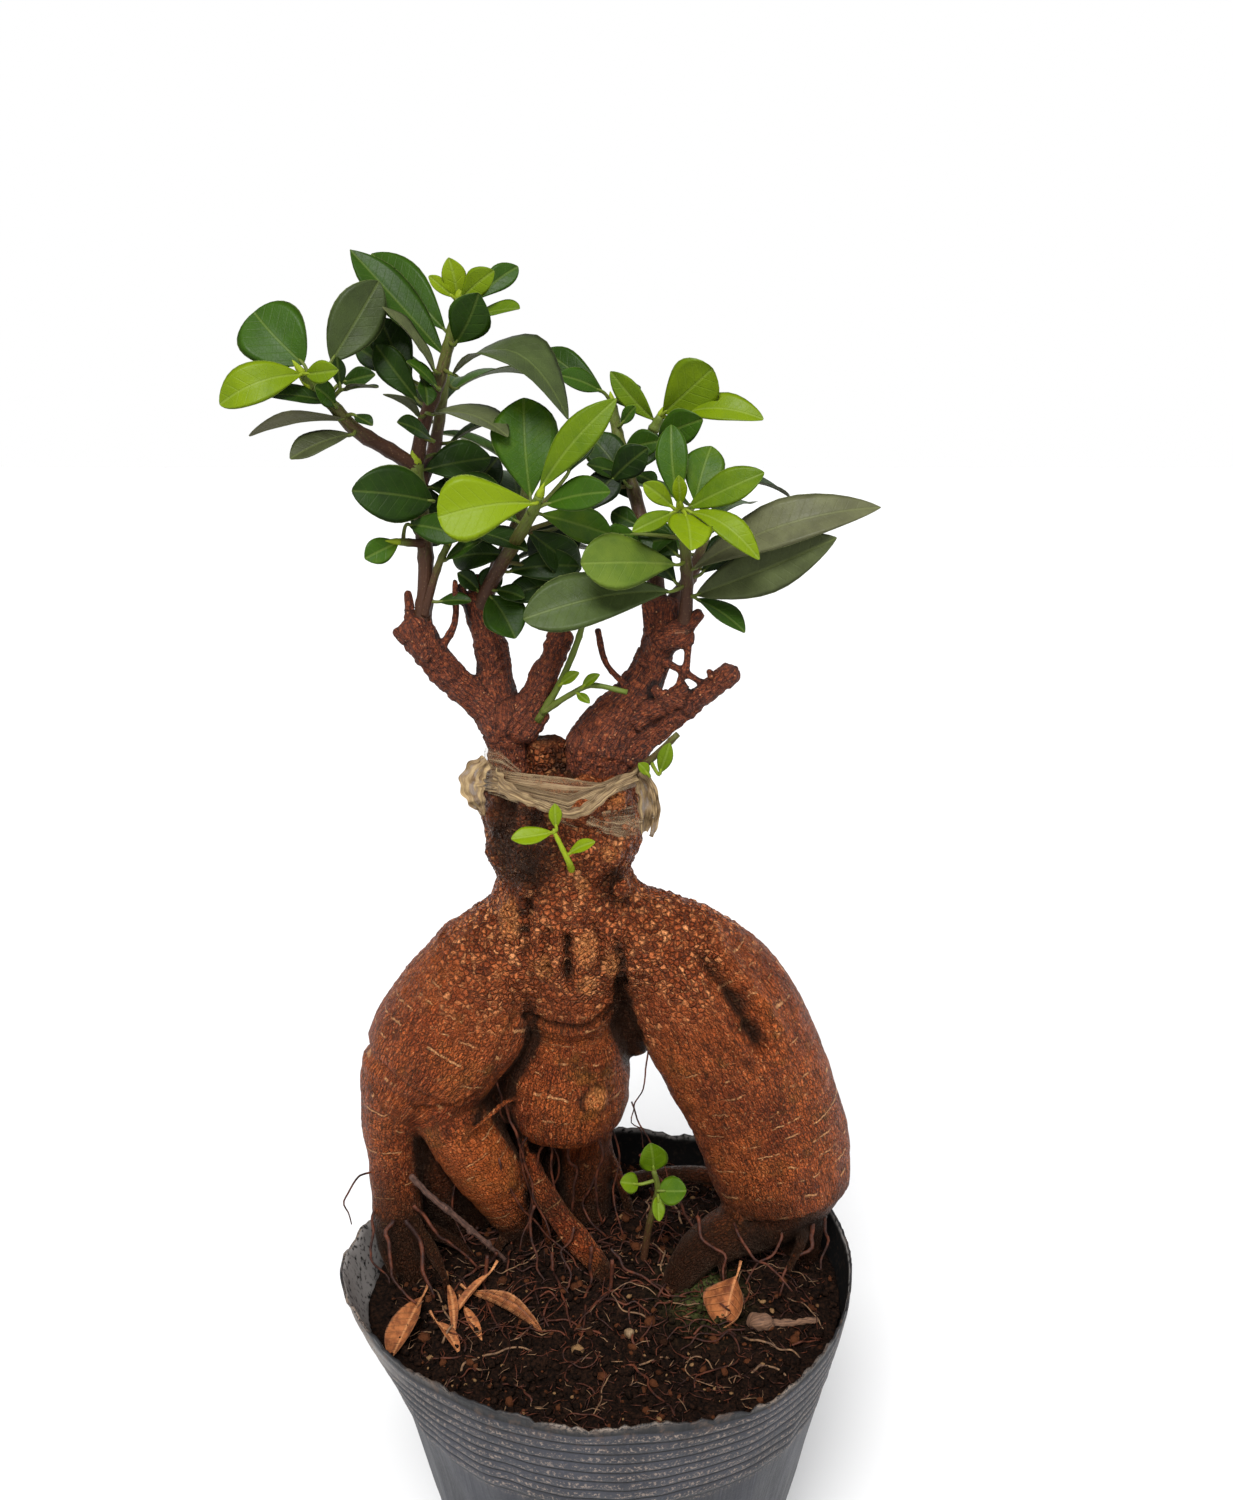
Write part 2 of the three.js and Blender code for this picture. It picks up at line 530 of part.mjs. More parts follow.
// Graft tape: a clear film band wound round the graft, with a loose strand in front and frayed ends.
function graftTape(grow) {
  const film = 0.6;
  const turns = 22;
  const centre = seen(-8.2, 213, NECK_DEPTH);
  const bandRadius = (angle) => 19 + 0.5 * Math.sin(3 * angle);
  const band = new THREE.LatheGeometry([[0, -3.6], [film, -3.6], [film, 3.6], [0, 3.6], [0, -3.6]]
    .map(([r, z]) => new THREE.Vector2(1 + r, z)), turns);
  band.rotateX(Math.PI / 2);
  const place = band.attributes.position;
  for (let i = 0; i < place.count; i++) {
    const angle = Math.atan2(place.getY(i), place.getX(i));
    const thick = Math.hypot(place.getX(i), place.getY(i)) - 1;
    const radius = bandRadius(angle) + thick * (film + 2 * grow) / film - grow;
    const rise = 1.2 * Math.sin(angle) - 0.8 * Math.cos(2 * angle);
    const height = place.getZ(i) * (1 + grow / 3.6) + rise;
    const out = Math.cos(angle) * radius;
    const deep = Math.sin(angle) * radius * 0.92;
    place.setXYZ(i, centre.x + out, centre.y + deep, centre.z + height);
  }
  const strip = (rows, wide) => slab(1, 2 * (rows.length - 1), (u, v, face) => {
    const route = new THREE.CatmullRomCurve3(rows.map(([x, z, y]) => seen(x, z, y)));
    const spot = route.getPoint(v);
    const side = route.getTangent(v).cross(DEPTH_AXIS).normalize();
    const end = (v === 1) - (v === 0);
    return spot.addScaledVector(side, (2 * u - 1) * (wide / 2 + grow))
      .addScaledVector(route.getTangent(v), end * grow)
      .addScaledVector(DEPTH_AXIS, -face * (film / 2 + grow));
  });
  return join([
    toSolid(band),
    strip([[-25.5, 213.5, 3], [-27.6, 215.5, 0], [-28, 211, -1], [-26, 208.5, 1]], 4.5),
    strip([[-14, 211, -10.2], [-5, 206.8, -10.4], [1, 203.8, -9], [7, 202, -7], [11, 206, -2],
      [11.5, 212, 2]], 3.4),
    strip([[9.5, 216, 1], [12.3, 212.5, 0], [13.6, 206.5, 1], [13.4, 201.6, 2]], 2.6),
  ]);
}

// Leafy shoots. Twig rows are x, z as seen, depth, radius; leaf rows are as leafFromRow reads them.
const SHOOT_STEM = {
  twigs: [
    [[-38, 250, 9, 2.2], [-36.8, 258.5, 9, 1.75], [-36.5, 267, 9.5, 1.7], [-37.2, 276, 10.5, 1.7],
      [-38, 285, 11, 1.6]],
    [[-37.2, 253, 8, 1.1], [-36, 257, 7, 0.9], [-33.7, 264, 6.5, 0.8], [-31.5, 268.5, 6, 0.8]],
    [[-36.5, 268.5, 9, 1], [-42, 268.9, 5, 0.8]],
  ],
  leaves: [
    [-34.5, 277.5, 8, -51.3, 279.7, -2, 12, 5, 0.1],
    [-42, 268.8, 5, -49.5, 265.3, 0, 5.6, 10],
    [-40, 272.5, 6, -28.3, 270, 1, 6.4, 15],
    [-29.3, 271.5, 5, -14.6, 267.5, -1, 4.2, 65],
    [-32.3, 265, 6, -24.3, 269.2, 1, 3.6, 55],
    [-34.3, 256, 7, -27, 256.4, 5, 3, 50],
    [-36, 284, 13, -22, 286.5, 17, 9, 25],
    [-35.5, 280.5, 14, -23.5, 278.5, 22, 9, 25],
  ],
};

const SHOOT_TOP = {
  twigs: [
    [[-38, 284, 12, 1.6], [-35.7, 294, 12, 1.5], [-32.2, 302.7, 12, 1.4], [-30.6, 308, 12, 1.2],
      [-28.8, 314.5, 11.5, 1]],
  ],
  leaves: [
    [-30.9, 307, 13, -49.6, 327.6, 20, 8, 30, 0.06],
    [-30.6, 312, 15, -45.3, 327.2, 26, 9, 15],
    [-24.4, 318, 12, -15.6, 324.6, 15, 5, 10],
    [-25, 314.6, 10, -15.3, 316.4, 4, 3.2, 60],
    [-28.8, 309.5, 8, -23.6, 319.6, 1, 9, 0],
    [-29.6, 303.5, 9, -5.6, 295.2, -4, 8, 58, 0.34],
    [-33, 304, 9, -43.6, 316.7, 6, 3.6, 70],
    [-32.6, 300.5, 9, -38.7, 306.2, 4, 3, 55],
    [-38, 301.5, 14, -44, 314.5, 20, 8.5, 5],
    [-39.5, 303, 16, -49.5, 309.3, 20, 5, 10],
    [-36.8, 298, 13, -45.2, 309.3, 14, 6.5, 0],
    [-36, 303, 8, -35, 297.2, 2, 4, 30],
    [-36.6, 295, 9, -44, 299.5, 2, 5, 105],
    [-34, 290, 8, -41.2, 294, 0, 5, 55],
    [-34.5, 295.5, 8, -18.3, 291, -3, 5.4, 62, 0.12],
  ],
};

const SHOOT_TOP_TIP = {
  twigs: [[[-28.6, 314, 11.5, 1.2], [-27.8, 318.5, 11, 1]]],
  leaves: [
    [-28, 318, 11, -29.6, 326.3, 9, 5, 5],
    [-27.3, 318.3, 10, -20.4, 323.8, 6, 5.6, 20],
    [-28.6, 318.5, 10.5, -33.8, 322.8, 8, 2.8, 20],
  ],
};

const SHOOT_LEFT = {
  twigs: [
    [[-38, 284.5, 11, 1.6], [-42, 287.3, 9.5, 1.6], [-50.5, 292.5, 6, 1.5], [-54.5, 297, 4, 1.3],
      [-59, 301, 2, 1.1]],
  ],
  leaves: [
    [-60.3, 305.5, 3, -70, 316, 8, 14.5, 5, 0.08],
    [-54.5, 306, 6, -44, 321.7, 12, 10.6, 5, 0.05],
    [-53.8, 297.5, 3, -68.9, 299.8, -4, 4, 50],
    [-54, 297, 1, -58.2, 301, -5, 5.5, 30],
    [-52.5, 294.5, 4, -72.6, 291.2, -2, 3, 100],
    [-50.7, 291.4, 4, -64.2, 286.1, -3, 4.6, 55],
    [-52.5, 301.8, 4, -45.8, 303.6, 0, 4, 30],
    [-52.5, 300.3, 3, -45, 300.8, -1, 3, 100],
    [-50.5, 295.3, 3, -46.6, 293.4, -1, 2.8, 40],
    [-53, 300.8, 1, -53.3, 307, -2, 3, 10],
  ],
};

const SHOOT_LEFT_TIP = {
  twigs: [[[-58.6, 300.8, 2.2, 1.2], [-60.6, 303.6, 1, 0.9]]],
  leaves: [
    [-61.3, 303.2, 0, -75.6, 298.4, -5, 7.6, 35, 0.24],
    [-60, 303.5, -0.5, -53.3, 304.3, -6, 4.6, 15],
  ],
};

const SHOOT_CENTRE = {
  twigs: [
    [[-25.5, 254, 10, 2], [-21.5, 262, 6, 1.6], [-16.5, 270, 0, 1.4], [-13.2, 275.5, -4, 1.2]],
  ],
  leaves: [
    [-13.8, 278, -3, -14.9, 299, 3, 14, 0, 0.06],
    [-10.6, 276.8, -6, 3.2, 279.4, -12, 7.2, 30],
    [-12, 274.8, -2, 3.4, 270.3, 3, 7.4, 15],
    [-23, 257.5, 7, -17.6, 248.2, 0, 9.6, 10],
    [-25, 258, 8, -29.6, 262.3, 5, 4.2, 20],
    [-22, 258.5, 6, -15.6, 257, 1, 4.2, 25],
    [-19, 262.5, 5, -3.6, 263.8, 6, 6.6, 15],
    [-21, 262.5, 9, -17.6, 267.4, 13, 5, 0],
    [-16.5, 273, 2, -30, 281.5, 10, 9, 10],
    [-15, 271.5, 1, -3, 263, 12, 8, 15],
    [-19, 266, 5, -31, 265.5, 13, 7, 20],
  ],
};

const SHOOT_CENTRE_TIP = {
  twigs: [[[-13.4, 275, -4.2, 1.3], [-11.9, 278.6, -6, 1]]],
  leaves: [
    [-12.8, 277, -7, -34, 271.6, -14, 12, 15, 0.12],
    [-12.2, 279.3, -6.5, 4.4, 298.6, -9, 7.6, 10, 0.1],
  ],
};

const SHOOT_BACK = {
  twigs: [
    [[14, 254, 11, 2], [12, 264, 16, 1.6], [9, 276, 22, 1.5], [6.5, 285, 26, 1.3], [4.6, 291.5, 28, 1.2],
      [3.6, 297, 29, 1]],
    [[6.5, 285, 26, 1.3], [9.5, 289, 27, 1.1], [12.3, 292.5, 27, 1]],
  ],
  leaves: [
    [1.4, 300, 28, -7.7, 303.4, 24, 5, 30],
    [2, 299.5, 31, -10.7, 308.7, 38, 6, 20],
    [4.2, 297.8, 28, 9.4, 301, 25, 5, 10],
    [13, 290.3, 24, 22, 294.3, 14, 7.5, 10],
    [5.4, 293.3, 26, 8.4, 297, 23, 3, 20],
    [6, 288, 23, 13.5, 290, 18, 6, 15],
    [6, 283, 22, -1.8, 285.2, 16, 4, 30],
    [8.4, 283.2, 23, 12.8, 281.3, 17, 4, 30],
    [9.8, 272, 18, 3.4, 275.2, 22, 5, 15],
  ],
};

const SHOOT_BACK_TIP = {
  twigs: [[[12, 292, 27, 1.2], [13.6, 295, 26.5, 0.9]]],
  leaves: [
    [12.4, 294, 27, 3.2, 304, 24, 5, 5],
    [14, 295.4, 25.5, 24.3, 304.6, 18, 11.5, 0, 0.05],
    [16.5, 294.6, 25, 34.8, 295, 14, 5, 45, 0.16],
  ],
};

const SHOOT_RIGHT = {
  twigs: [
    [[19, 249, 6.5, 2], [19.4, 254, 6, 1.5], [19.5, 261, 4.5, 1.4], [19.1, 267, 2.5, 1.2],
      [18.4, 272, 0.5, 1]],
  ],
  leaves: [
    [21, 277, 2.5, 24.3, 289, 8, 8.6, 0],
    [22.5, 277.5, 5, 41, 278.5, 12, 4, 80, 0.2],
    [20.6, 263, 3, 60.3, 276.6, -3, 9.4, 30, 0.15],
    [21.4, 257.4, 4, 51.6, 269.6, -7, 10.6, 20, 0.06],
    [21.4, 256.8, 4, 32.4, 249.5, -1, 4.4, 55],
    [17.6, 264, 1, -3.2, 264.3, -10, 12.4, 10, 0.08],
    [16.4, 258.3, 2, -15.8, 252.2, -7, 12.2, 20, 0.08],
    [17.6, 266, 4, 9.6, 272.8, 9, 7.4, 5],
    [17.5, 270, 3, 5, 266.5, 12, 7, 20],
  ],
};

const SHOOT_RIGHT_TIP = {
  twigs: [[[18.5, 271.4, 0.7, 1.2], [17.9, 276, -1, 0.9]]],
  leaves: [
    [17.6, 276.5, 1, 15.8, 293.4, 5, 6.8, 0, 0.06],
    [19.5, 276, -1, 35.6, 283.4, -5, 7.2, 20],
    [16.6, 276, -2, 10.2, 281.2, -5, 4.2, 15],
    [18, 276.5, -2.5, 17.5, 282.8, -6, 3.2, 5],
    [16.6, 275.2, -2, 7.9, 271.3, -8, 4.2, 20],
    [19, 274.8, -3, 20.4, 267.4, -16, 9.6, 20, 0.1],
    [20, 275.2, -2.5, 35, 265, -12, 5.2, 30, 0.2],
  ],
};

// Small young growth on the wood: between the scions, on the neck and beside the tape.
const INNER_SPRIG = {
  twigs: [
    [[-13, 229.5, 5, 0.9], [-8, 238, 3.5, 0.75], [-4, 247.5, 3, 0.7], [-2.5, 252.8, 3, 0.6]],
    [[-12, 231.3, 4.5, 0.8], [-6, 235.3, 2.5, 0.65], [-1.3, 237.5, 1.5, 0.6], [6.8, 236, 1, 0.6]],
  ],
  leaves: [
    [-8, 237.6, 2.5, -4, 240.4, -1, 2.4, 20],
    [-3.2, 237, 1.5, 0.6, 240, -1, 2.2, 20],
    [-4.5, 236, 2, -1.5, 233.6, -1, 2, 20],
  ],
};

const NECK_SPROUT = {
  twigs: [[[-5.4, 190, -3.4, 1.7], [-6.3, 194.2, -7, 1.4], [-7.6, 199, -8.6, 1.1], [-9.2, 204, -9.6, 0.9]]],
  leaves: [
    [-9.8, 203.6, -10, -19.4, 202, -12, 4.4, 25],
    [-9.2, 204.3, -10, -9.4, 210.3, -11, 3, 5],
    [-6.8, 198.2, -9, -0.4, 201.4, -11.5, 2.8, 20],
  ],
};

const SIDE_SPRIG = {
  twigs: [[[4, 214.5, 7.5, 1], [8.8, 218, -0.5, 0.9], [13.5, 222, -2, 0.8], [18, 226.5, -2.5, 0.7]]],
  leaves: [
    [14, 221.4, -3, 17.8, 219.4, -5, 3.4, 20],
    [15, 223.4, -3, 12.6, 226.8, -4, 3, 20],
  ],
};

// Shoots behind the crown, with their leaves set by rule.
const REAR_LEFT = [[-37, 281, 12, 1.6], [-34, 288, 22, 1.4], [-32, 297, 30, 1.1], [-31, 303, 34, 0.9]];
const REAR_CENTRE = [[-25, 255, 12, 1.8], [-21, 264, 20, 1.5], [-16, 275, 30, 1.2], [-14, 283, 35, 1]];
const REAR_RIGHT = [[15, 254, 12, 1.8], [20, 261, 20, 1.5], [23, 269, 30, 1.2], [23, 276, 36, 1]];

const rearShoot = (rows, count, seed) => shoot({
  twigs: [rows],
  moreLeaves: leavesByRule(rows, count, 23, seed),
});

// Things in and on the soil

// A seedling: a bare stalk with four round leaves.
const WEED = {
  twigs: [[[10.6, 89, 2, 0.9], [12.3, 102, 0.5, 0.9], [14.4, 112.3, -1, 0.8], [13.4, 117.5, -2, 0.6]]],
  leaves: [
    [13.4, 117.6, -2, 12.7, 124.6, -4, 7, 10, 0.05],
    [9.6, 113.8, -2, 5.4, 114.4, -4, 5, 10],
    [14.8, 112, -2, 21.3, 112, -4, 7, 10, 0.05],
    [14.5, 110.5, -2, 14.8, 103.6, -5, 3.2, 10],
  ],
};

// Fallen leaves, curled and brown. Base and tip are x, z as seen and a height above the soil; then come
// the width as seen and the curl across.
const FALLEN_LEAVES = [
  [-43, 82, 1.6, -50, 64.5, 0.2, 6, 0.5],
  [-31.5, 83.5, 1.4, -14, 72.5, 0.5, 6, 0.7],
  [-27, 89, 2.6, -36.5, 76, 0.4, 2.6, 0.4],
  [-37.3, 86, 1.8, -36.2, 71, 0.4, 2.4, 0.4],
  [-33.5, 79.5, 0.6, -29.3, 70, 0.3, 2.6, 0.4],
  [-40.5, 75, 0.5, -35, 66, 0.3, 3, 0.4],
  [34.2, 88.5, 4, 30, 73.5, 0.4, 11, 0.35],
];

function fallenLeaf([bx, bz, baseAbove, tx, tz, tipAbove, wide, curl], grow) {
  const base = seen(bx, bz, depthOnSoil(bx, bz, baseAbove));
  const tip = seen(tx, tz, depthOnSoil(tx, tz, tipAbove));
  const along = tip.clone().sub(base).normalize();
  const top = UP.clone().projectOnPlane(along).normalize();
  const foot = base.clone().addScaledVector(along, -1.5);
  return blade({ foot, base, tip, top, width: wide, arch: 0.06, fold: curl }, grow);
}

// A dry twig leans on the left leg, and a pale knot of root and a small stone lie in front.
const LOOSE_TWIG = [
  [-44.5, 115, 1, 1.2], [-34.5, 104.5, 2.5, 1], [-26, 97.5, 4, 0.8], [-20, 91.8, 5.5, 0.7],
];
const PALE_KNOT = [[40, 74.5, 1.2], [47, 74.6, 0.9], [54, 75.4, 0.7]];
const PEBBLE = [7.2, 71.3, 1.2];

const looseTwig = (grow) => limb(LOOSE_TWIG, { sides: 5, grow });
const pebble = (grow) => {
  const [x, z, above] = PEBBLE;
  return lump(x, z, depthOnSoil(x, z, above), 1.8, [1.3, 1.2, 0.9], grow);
};

function rootKnot(grow) {
  const tail = PALE_KNOT.map(([x, z, radius]) => [x, z, depthOnSoil(x, z, radius / 2), radius]);
  const [x, z, y] = tail[0];
  return join([lump(x, z, y, 2.4, [1.2, 1, 0.9], grow), limb(tail, { sides: 5, grow })]);
}

// Materials
const finish = (color, roughness, more = {}) => new THREE.MeshStandardMaterial({
  color, roughness, metalness: 0, ...more,
});
const film = finish(0x3c434c, 0.5);
const earth = finish(0x241a13, 0.95);
const bark = finish(0x7a4a28, 0.7);
const scionBark = finish(0x5a3524, 0.85);
const tapeFilm = finish(0xcbbf9e, 0.4, { transparent: true, opacity: 0.6 });
const matureLeaf = finish(0x24491c, 0.35);
const youngLeaf = finish(0x8fb52a, 0.4);
const deadLeaf = finish(0xa8683a, 0.8);
const weedLeaf = finish(0x4f9a34, 0.5);
const dryTwig = finish(0x4a3022, 0.9);
const stone = finish(0x8a7d68, 0.9);

const plant = new THREE.Group();

function addPiece(name, solid, material) {
  const mesh = new THREE.Mesh(toGeometry(solid), material);
  mesh.name = name;
  plant.add(mesh);
}

// Pieces are added from the wood outwards. Each is cut back from all before it, so that neighbours meet
// with a small gap, and the room that it takes itself is kept for those that follow.
let taken = null;

function fitPiece(name, build, material) {
  const whole = build(0);
  addPiece(name, mainBody(taken ? whole.subtract(taken) : whole), material);
  const room = build(GAP);
  taken = taken ? taken.add(room) : room;
}

fitPiece('rootstock', rootstock, bark);
fitPiece('scion_left', scion(SCION_LEFT), scionBark);
fitPiece('scion_right', scion(SCION_RIGHT), scionBark);
fitPiece('graft_tape', graftTape, tapeFilm);
fitPiece('shoot_right', shoot(SHOOT_RIGHT), matureLeaf);
fitPiece('shoot_right_tip', shoot(SHOOT_RIGHT_TIP), youngLeaf);
fitPiece('shoot_centre', shoot(SHOOT_CENTRE), matureLeaf);
fitPiece('shoot_centre_tip', shoot(SHOOT_CENTRE_TIP), youngLeaf);
fitPiece('shoot_stem', shoot(SHOOT_STEM), matureLeaf);
fitPiece('shoot_top', shoot(SHOOT_TOP), matureLeaf);
fitPiece('shoot_top_tip', shoot(SHOOT_TOP_TIP), youngLeaf);
fitPiece('shoot_left', shoot(SHOOT_LEFT), matureLeaf);
fitPiece('shoot_left_tip', shoot(SHOOT_LEFT_TIP), youngLeaf);
fitPiece('shoot_back', shoot(SHOOT_BACK), matureLeaf);
fitPiece('shoot_back_tip', shoot(SHOOT_BACK_TIP), youngLeaf);
fitPiece('shoot_rear_left', rearShoot(REAR_LEFT, 5, 11), matureLeaf);
fitPiece('shoot_rear_centre', rearShoot(REAR_CENTRE, 5, 23), matureLeaf);
fitPiece('shoot_rear_right', rearShoot(REAR_RIGHT, 5, 37), matureLeaf);
fitPiece('inner_sprig', shoot(INNER_SPRIG), youngLeaf);
fitPiece('neck_sprout', shoot(NECK_SPROUT), youngLeaf);
fitPiece('side_sprig', shoot(SIDE_SPRIG), youngLeaf);
fitPiece('weed_seedling', shoot(WEED), weedLeaf);
FALLEN_LEAVES.forEach((row, i) => {
  fitPiece(`fallen_leaf_${i + 1}`, (grow) => fallenLeaf(row, grow), deadLeaf);
});
fitPiece('loose_twig', looseTwig, dryTwig);
fitPiece('root_knot', rootKnot, dryTwig);
fitPiece('pebble', pebble, stone);
addPiece('soil', mainBody(soil().subtract(taken)), earth);
addPiece('pot', pot(), film);

export default plant;
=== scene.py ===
import math
import bpy
import numpy as np
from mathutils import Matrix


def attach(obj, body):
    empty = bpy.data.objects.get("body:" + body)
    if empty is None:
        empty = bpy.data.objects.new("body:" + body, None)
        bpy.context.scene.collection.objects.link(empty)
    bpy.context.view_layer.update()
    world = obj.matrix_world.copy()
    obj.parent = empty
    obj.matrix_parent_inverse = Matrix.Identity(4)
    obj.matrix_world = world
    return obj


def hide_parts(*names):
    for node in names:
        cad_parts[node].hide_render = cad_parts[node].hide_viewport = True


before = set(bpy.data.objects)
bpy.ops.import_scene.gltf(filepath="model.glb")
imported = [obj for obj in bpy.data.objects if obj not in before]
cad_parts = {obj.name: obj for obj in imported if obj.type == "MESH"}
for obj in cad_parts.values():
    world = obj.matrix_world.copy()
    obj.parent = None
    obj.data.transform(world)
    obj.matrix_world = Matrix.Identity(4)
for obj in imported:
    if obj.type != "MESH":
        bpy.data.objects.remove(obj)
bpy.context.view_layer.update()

import openvdb
from mathutils import Vector
from mathutils.geometry import delaunay_2d_cdt


# Rootstock: the swollen root of a fig, lifted out of the ground and planted high. It has a neck, a chest
# and belly, two bent arms and the legs and roots that they stand on. Its bark is scaly on the neck and
# chest, and on the limbs smooth, with pale corky dashes across. Its limbs are melted together as grown.
MM = 0.001
EYE = np.array([0.8, -304.0, 306.0])  # the camera
AXIS_X = 3.6  # where the pot's axis shows


def widened(size, y):
    """The true size, at depth y, of what shows with a size in the plane y = 0."""
    return size * (y - EYE[1]) / -EYE[1]


def seen(x, z, y):
    """The place, in millimetres, that shows at x, z in the plane y = 0 and lies at depth y."""
    back = widened(1, y)
    return np.array([EYE[0] + (x - AXIS_X - EYE[0]) * back, y, EYE[2] + (z - EYE[2]) * back])


def soft_route(p, per_gap):
    """A soft curve through the rows of p, with per_gap steps between two of them."""
    p = np.vstack([2 * p[0] - p[1], p, 2 * p[-1] - p[-2]])
    gaps = np.maximum(np.linalg.norm(np.diff(p[:, :3], axis=0), axis=1), 1e-6) ** 0.5
    t = np.arange(per_gap)[:, None] / per_gap
    parts = []
    for i in range(1, len(p) - 2):
        a, b, c, d = p[i - 1:i + 3]
        before, here, after = gaps[i - 1:i + 2]
        leave = ((b - a) / before - (c - a) / (before + here) + (c - b) / here) * here
        arrive = ((c - b) / here - (d - b) / (here + after) + (d - c) / after) * here
        parts.append((2 * t**3 - 3 * t**2 + 1) * b + (t**3 - 2 * t**2 + t) * leave
                     + (3 * t**2 - 2 * t**3) * c + (t**3 - t**2) * arrive)
    return np.vstack([*parts, p[-2][None]])


def limb_route(rows, per_gap=5):
    """Points and radii along a limb, from rows of x, z as seen, depth, and radius as seen."""
    return soft_route(np.array([[*seen(x, z, y), widened(r, y)] for x, z, y, r in rows]), per_gap)


def as_limb(route, melt, domes=(1, 1), flat=1):
    """A limb that is melted into others, with how round its ends are and how flat it is."""
    return {"route": route, "flat": flat, "domes": domes, "melt": melt}


def grown_solid(limbs, cuts, voxel):
    """The skin of limbs that are melted together and cut, in millimetres: its vertices, quads, normals, and
    how deep each vertex lies in a crease or under other limbs, from 0 to 1, which the finishes paint as
    shade."""
    margin, crease_reach, crowd_reach, crowd_blur = 4.0, 2.4, 5, 3.6
    routes = [limb["route"] for limb in limbs]
    low = np.concatenate([route[:, :3] - route[:, 3:] for route in routes]).min(0) - margin
    high = np.concatenate([route[:, :3] + route[:, 3:] for route in routes]).max(0) + margin
    shape = np.ceil((high - low) / voxel).astype(int) + 1
    axes = [low[k] + voxel * np.arange(shape[k], dtype=np.float32) for k in range(3)]

    def window(points, radius):
        """The part of the grid round some points, and its places."""
        start = np.floor((points.min(0) - radius - margin - low) / voxel).astype(int)
        stop = np.ceil((points.max(0) + radius + margin - low) / voxel).astype(int) + 1
        cut = tuple(slice(a, b) for a, b in zip(np.clip(start, 0, shape), np.clip(stop, 0, shape)))
        x, y, z = (axis[part] for axis, part in zip(axes, cut))
        return cut, x[:, None, None], y[None, :, None], z[None, None, :]

    def from_segment(a, b, x, y, z, flat):
        """How far places lie along a straight piece of limb, and off its line, squared."""
        scale = np.array([1, 1 / flat, 1])
        length = np.linalg.norm((b - a)[:3] * scale)
        u = (b - a)[:3] * scale / length
        dx, dy, dz = x - a[0], (y - a[1]) / flat, z - a[2]
        along = dx * u[0] + dy * u[1] + dz * u[2]
        return along, dx * dx + dy * dy + dz * dz - along * along, length

    def limb_field(limb):
        """How far the grid's places lie outside one limb."""
        route, flat = limb["route"], limb["flat"]
        whole, *_ = window(route[:, :3], route[:, 3].max())
        own = np.full([s.stop - s.start for s in whole], margin, dtype=np.float32)

        def within(cut):
            """The same part of the grid, counted from this limb's own part."""
            return tuple(slice(s.start - w.start, s.stop - w.start) for s, w in zip(cut, whole))

        for a, b in zip(route[:-1], route[1:]):
            cut, x, y, z = window(np.array([a[:3], b[:3]]), max(a[3], b[3]))
            along, off, length = from_segment(a, b, x, y, z, flat)
            held = np.clip(along, 0, length)
            gap = np.sqrt(np.maximum(off + (along - held) ** 2, 0)) - a[3] - (b[3] - a[3]) / length * held
            own[within(cut)] = np.minimum(own[within(cut)], gap)
        for end, inner, dome in zip(route[[0, -1]], route[[1, -2]], limb["domes"]):
            if dome == 1:
                continue
            cut, x, y, z = window(end[None, :3], end[3])
            along, off, _ = from_segment(inner, end, x, y, z, flat)
            along = along - np.linalg.norm((end - inner)[:3] * [1, 1 / flat, 1])
            gap = np.sqrt(np.maximum(off + (along / dome) ** 2, 0)) - end[3]
            own[within(cut)] = np.where((along > 0) & (off < (1.5 * end[3] + margin) ** 2),
                                        np.minimum(gap, margin), own[within(cut)])
        return whole, own

    def melted(one, other, melt):
        """How far the skin moves out where two surfaces run into each other."""
        return (np.maximum(melt - np.abs(one - other), 0) / melt) ** 2 * melt / 4

    field = np.full(shape, margin, dtype=np.float32)
    for limb in limbs:
        cut, own = limb_field(limb)
        field[cut] = np.minimum(field[cut], own) - melted(field[cut], own, limb["melt"])
    for limb in cuts:
        cut, own = limb_field(limb)
        field[cut] = np.maximum(field[cut], -own) + melted(field[cut], -own, limb["melt"])
    grid = openvdb.FloatGrid(margin)
    grid.copyFromArray(field)
    spots, quads = grid.convertToQuads(isovalue=0)
    spots = spots.astype(float) * voxel + low
    normals = vertex_normals(spots, quads)
    # how deep each vertex lies in a crease or under other limbs, which the finishes paint as shade
    crease = 1 - at_places(field, spots + normals * crease_reach, low, voxel) / crease_reach
    crowd = blurred((field < 0)[::2, ::2, ::2].astype(np.float32), round(crowd_blur / voxel))
    crowd = at_places(crowd, spots + normals * crowd_reach, low, 2 * voxel)
    hollow = np.clip(0.9 * np.clip(crease, 0, 1) + soft_step(0.24, 0.62, crowd), 0, 1)
    return spots, quads, normals, hollow


def at_places(values, spots, low, voxel):
    """The values of a grid at some places, mixed from the cells round them."""
    p = np.clip((spots - low) / voxel, 0, np.array(values.shape) - 1.001)
    cell = p.astype(int)
    f = p - cell
    total = np.zeros(len(spots))
    for corner in np.ndindex(2, 2, 2):
        total += np.prod(np.where(corner, f, 1 - f), axis=1) * values[tuple((cell + corner).T)]
    return total


def blurred(values, width):
    """A grid in which each value is the mean of those round it."""
    for axis in range(3):
        padded = np.pad(values, [(width + 1, width) if k == axis else (0, 0) for k in range(3)])
        total = np.moveaxis(np.cumsum(padded, axis=axis), axis, 0)
        values = np.moveaxis((total[2 * width + 1:] - total[:-2 * width - 1]) / (2 * width + 1), 0, axis)
    return values


